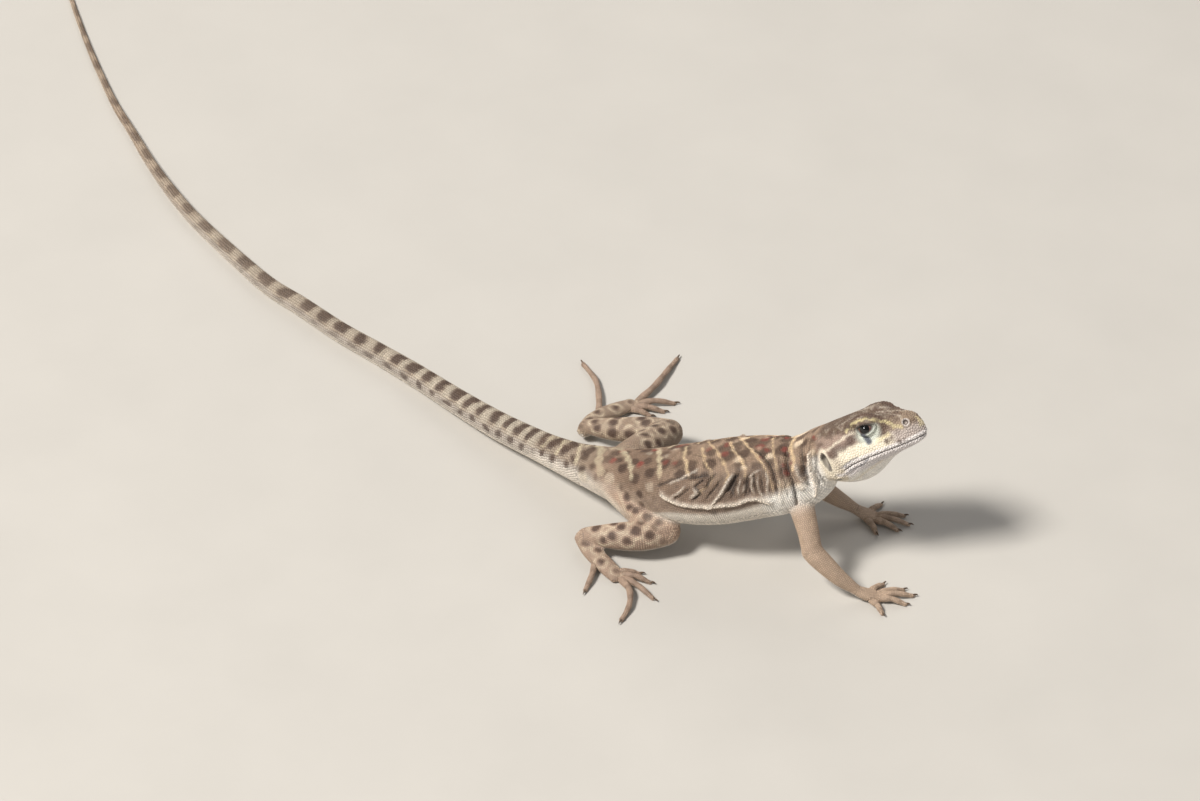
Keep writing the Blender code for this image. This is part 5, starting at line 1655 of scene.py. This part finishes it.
def make_claws():
    """Curved cones on every digit: centres run level out from the tip, arch up and hook down."""
    grids = []
    share = np.linspace(0, 1, 14)[:, None]
    run = 0.05 + 0.95 * np.sin(share * 1.35) / math.sin(1.35)
    rise = 0.14 + 0.34 * np.sin(math.pi * share * 0.62) - 0.52 * share ** 2.4
    radius = 0.34 * (1 - share) ** 0.6 + 0.02
    turn = around(10)[None]
    for name, tube in DIGITS.items():
        tip, forward, *_ = tube.sections(np.array(float(tube.last)))
        level = unit(forward * (1, 1, 0))
        length = CLAW_LENGTH * (1.0 if "toe" in name else 0.86)
        centres = tip + level * length * run + UP * rise
        across = np.cross(UP, level) * (radius * 0.62 * np.cos(turn))[..., None]
        grid = centres[:, None] + across + UP * (radius * np.sin(turn))[..., None]
        grid[..., 2] = np.maximum(grid[..., 2], 0.0)
        grids.append((grid + SHIFT) * MM)
    mesh = closed_tubes("claws", grids)
    mesh.polygons.foreach_set("use_smooth", np.ones(len(mesh.polygons), bool))
    return mesh


# Finishes

def new_finish(name, roughness):
    """A principled finish and its node tree."""
    material = bpy.data.materials.new(name)
    material.use_nodes = True
    shader = material.node_tree.nodes["Principled BSDF"]
    shader.inputs["Roughness"].default_value = roughness
    return material, material.node_tree, shader


def feed(tree, node, inputs):
    """Each input of a node linked to another node's output, or set to a plain value."""
    for key, value in inputs.items():
        if isinstance(value, bpy.types.NodeSocket):
            tree.links.new(value, node.inputs[key])
        else:
            node.inputs[key].default_value = value


def add_node(tree, kind, inputs, **settings):
    """A new node with its settings made first and its inputs fed."""
    node = tree.nodes.new("ShaderNode" + kind)
    for key, value in settings.items():
        setattr(node, key, value)
    feed(tree, node, inputs)
    return node


def noise(tree, scale, detail=4.0):
    """Noise over the piece's own coordinates."""
    place = add_node(tree, "TexCoord", {}).outputs["Object"]
    inputs = {"Scale": scale, "Detail": detail, "Roughness": 0.55, "Vector": place}
    return add_node(tree, "TexNoise", inputs).outputs["Fac"]


def spread(tree, value, low, high):
    """A 0 to 1 value carried to a range."""
    inputs = {"Value": value, "From Min": 0.25, "From Max": 0.75, "To Min": low, "To Max": high}
    return add_node(tree, "MapRange", inputs).outputs["Result"]


def times(tree, colour, factor):
    """A colour made lighter or darker by a factor."""
    return add_node(tree, "VectorMath", {0: colour, "Scale": factor}, operation="SCALE").outputs["Vector"]


def roughen(tree, shader, height, strength, distance):
    """A bump from a height value."""
    bumps = add_node(tree, "Bump", {"Strength": strength, "Distance": distance, "Height": height})
    tree.links.new(bumps.outputs["Normal"], shader.inputs["Normal"])


def ramp_colour(tree, shader, value, stops):
    """Base colour from a 0 to 1 value: the ramp's two own stops first, then the added ones."""
    ramp = tree.nodes.new("ShaderNodeValToRGB")
    for number, (position, colour) in enumerate(stops):
        own = number < 2
        element = ramp.color_ramp.elements[number] if own else ramp.color_ramp.elements.new(position)
        element.position = position
        element.color = (*colour, 1)
    tree.links.new(value, ramp.inputs["Fac"])
    tree.links.new(ramp.outputs["Color"], shader.inputs["Base Color"])


def scaly_finish(name, roughness, grain):
    """Markings from the mesh, mottled at two sizes, with uneven gloss and a fine grain."""
    material, tree, shader = new_finish(name, roughness)
    marks = add_node(tree, "Attribute", {}, attribute_name="markings").outputs["Color"]
    blotch = spread(tree, noise(tree, 420.0, 3.0), 0.88, 1.12)
    speck = spread(tree, noise(tree, 2600.0, 2.0), 0.88, 1.12)
    gloss = spread(tree, noise(tree, 900.0, 2.0), roughness - 0.08, roughness + 0.12)
    feed(tree, shader, {
        "Base Color": times(tree, times(tree, marks, blotch), speck), "Roughness": gloss,
        "Specular IOR Level": 0.42})
    roughen(tree, shader, noise(tree, grain, 3.0), 0.35, 0.00008)
    return material


def eye_finish():
    """Black pupil, bronze iris with fine rays and a thin pale ring, under a wet clear coat."""
    material, tree, shader = new_finish("eye", 0.12)
    look = add_node(tree, "Attribute", {}, attribute_name="look").outputs["Fac"]
    wobble = spread(tree, noise(tree, 3000.0, 2.0), -0.02, 0.02)
    total = add_node(tree, "Math", {0: look, 1: wobble}, operation="ADD").outputs["Value"]
    pupil = (0.002, 0.002, 0.002)
    ramp_colour(tree, shader, total, (
        (0.0, pupil), (1.0, (0.02, 0.012, 0.008)), (0.50, pupil), (0.53, tone(122, 92, 76)),
        (0.56, tone(98, 68, 60)), (0.70, tone(78, 50, 42)), (0.86, tone(34, 24, 20))))
    feed(tree, shader, {"Coat Weight": 0.7, "Coat Roughness": 0.03, "Specular IOR Level": 0.2})
    return material


def claw_finish():
    """Dark horn that pales in patches."""
    material, tree, shader = new_finish("claw horn", 0.3)
    ramp_colour(tree, shader, noise(tree, 1200.0, 3.0), ((0.3, tone(58, 44, 34)), (0.7, tone(108, 88, 68))))
    roughen(tree, shader, noise(tree, 5000.0, 2.0), 0.2, 0.00003)
    return material


def floor_finish():
    """Matt pale plaster with the faintest unevenness."""
    material, tree, shader = new_finish("pale floor", 0.9)
    shade = spread(tree, noise(tree, 30.0, 5.0), 0.97, 1.03)
    base = tree.nodes.new("ShaderNodeRGB")
    base.outputs[0].default_value = (*tone(184, 179, 171), 1)
    tree.links.new(times(tree, base.outputs[0], shade), shader.inputs["Base Color"])
    return material


# Putting it together

def add_piece(name, mesh, material, slot):
    """A piece of the animal that rides on its one body."""
    piece = new_object(name, mesh)
    mesh.materials.append(material)
    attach(piece, "root")
    return piece


def add_animal():
    """Skin, scales, eyes and claws."""
    mesh = make_skin()
    faces = [tuple(polygon.vertices) for polygon in mesh.polygons]
    tree = BVHTree.FromPolygons(mesh_points(mesh).tolist(), faces)
    pieces = body_scales(mesh, tree) + head_plates(mesh)
    points = mesh_points(mesh)
    # The skin between the scales painted darker, 0.66 of the markings on the body and 0.88 on the head:
    # painted shade in the gaps between scales
    finish_mesh(mesh, coat_colours(points) * np.where(on_head(points), 0.88, 0.66)[:, None])
    set_points(mesh, (points + SHIFT) * MM)
    skin = add_piece("skin", mesh, scaly_finish("skin between scales", 0.62, 5200.0), "body_skin")
    flesh = [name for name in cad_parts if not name.endswith("eye")]
    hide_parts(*flesh)
    scales = scaly_finish("scales", 0.50, 7000.0)
    for scale_mesh, slot in pieces:
        add_piece(scale_mesh.name, scale_mesh, scales, slot)
    for side, word in ((1, "left"), (-1, "right")):
        eye = add_piece(word + "_eyeball", make_eye(word + "_eyeball", side), eye_finish(), "eye")
        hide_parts(word + "_eye")
    add_piece("claws", make_claws(), claw_finish(), "leg_skin")


def add_floor():
    """A wide flat floor, a hair under the level that the feet rest on."""
    size, drop = 3.0, 0.00002
    corners = np.array(((-size, -size), (size, -size), (size, size), (-size, size)))
    corners = np.column_stack((corners, np.full(4, -drop)))
    mesh = make_mesh("floor", corners, [np.array(((0, 1, 2, 3),))])
    floor = new_object("floor", mesh)
    mesh.materials.append(floor_finish())


def add_light(name, place, target, size, power, colour):
    """A square soft light that faces its target."""
    lamp = bpy.data.lights.new(name, "AREA")
    lamp.size = size
    lamp.energy = power
    lamp.color = colour
    light = new_object(name, lamp)
    light.location = place
    light.rotation_euler = (Vector(target) - Vector(place)).to_track_quat("-Z", "Y").to_euler()
    return light


def add_lights():
    """A soft key from the upper left, a weak fill, a light behind, a glint for the eye, and a pale sky."""
    target = (0.03, -0.04, 0.02)
    add_light("key", (-1.41, -0.87, 2.35), target, 0.60, 116.0, (1.0, 0.98, 0.95))
    add_light("fill", (2.2, -1.9, 1.7), target, 2.5, 15.5, (0.92, 0.95, 1.0))
    add_light("rim", (0.7, 2.3, 2.0), target, 1.8, 25.0, (1.0, 0.98, 0.95))
    eye = (0.093, -0.103, 0.041)
    glint = add_light("catch", (-1.32, -1.62, 0.78), eye, 0.42, 24.0, (1.0, 0.99, 0.97))
    glint.visible_diffuse = False
    world = bpy.data.worlds.new("sky")
    world.use_nodes = True
    world.node_tree.nodes["Background"].inputs["Color"].default_value = (0.93, 0.95, 1.0, 1)
    world.node_tree.nodes["Background"].inputs["Strength"].default_value = 0.22
    bpy.context.scene.world = world
    bpy.context.scene.view_settings.view_transform = "Standard"


def add_camera():
    """A long lens 1.8 m off, looking down at 40 degrees, as the photograph was taken."""
    distance, lift = 1.8, math.radians(40.0)
    camera_data = bpy.data.cameras.new("camera")
    camera_data.lens = 225.0
    camera_data.sensor_width = 36.0
    camera_data.clip_start = 0.05
    camera_data.clip_end = 20.0
    camera = new_object("camera", camera_data)
    camera.location = (
        SHIFT[0] * MM, SHIFT[1] * MM - distance * math.cos(lift), distance * math.sin(lift))
    camera.rotation_euler = (math.pi / 2 - lift, 0.0, 0.0)
    bpy.context.scene.camera = camera


add_animal()
add_floor()
add_lights()
add_camera()
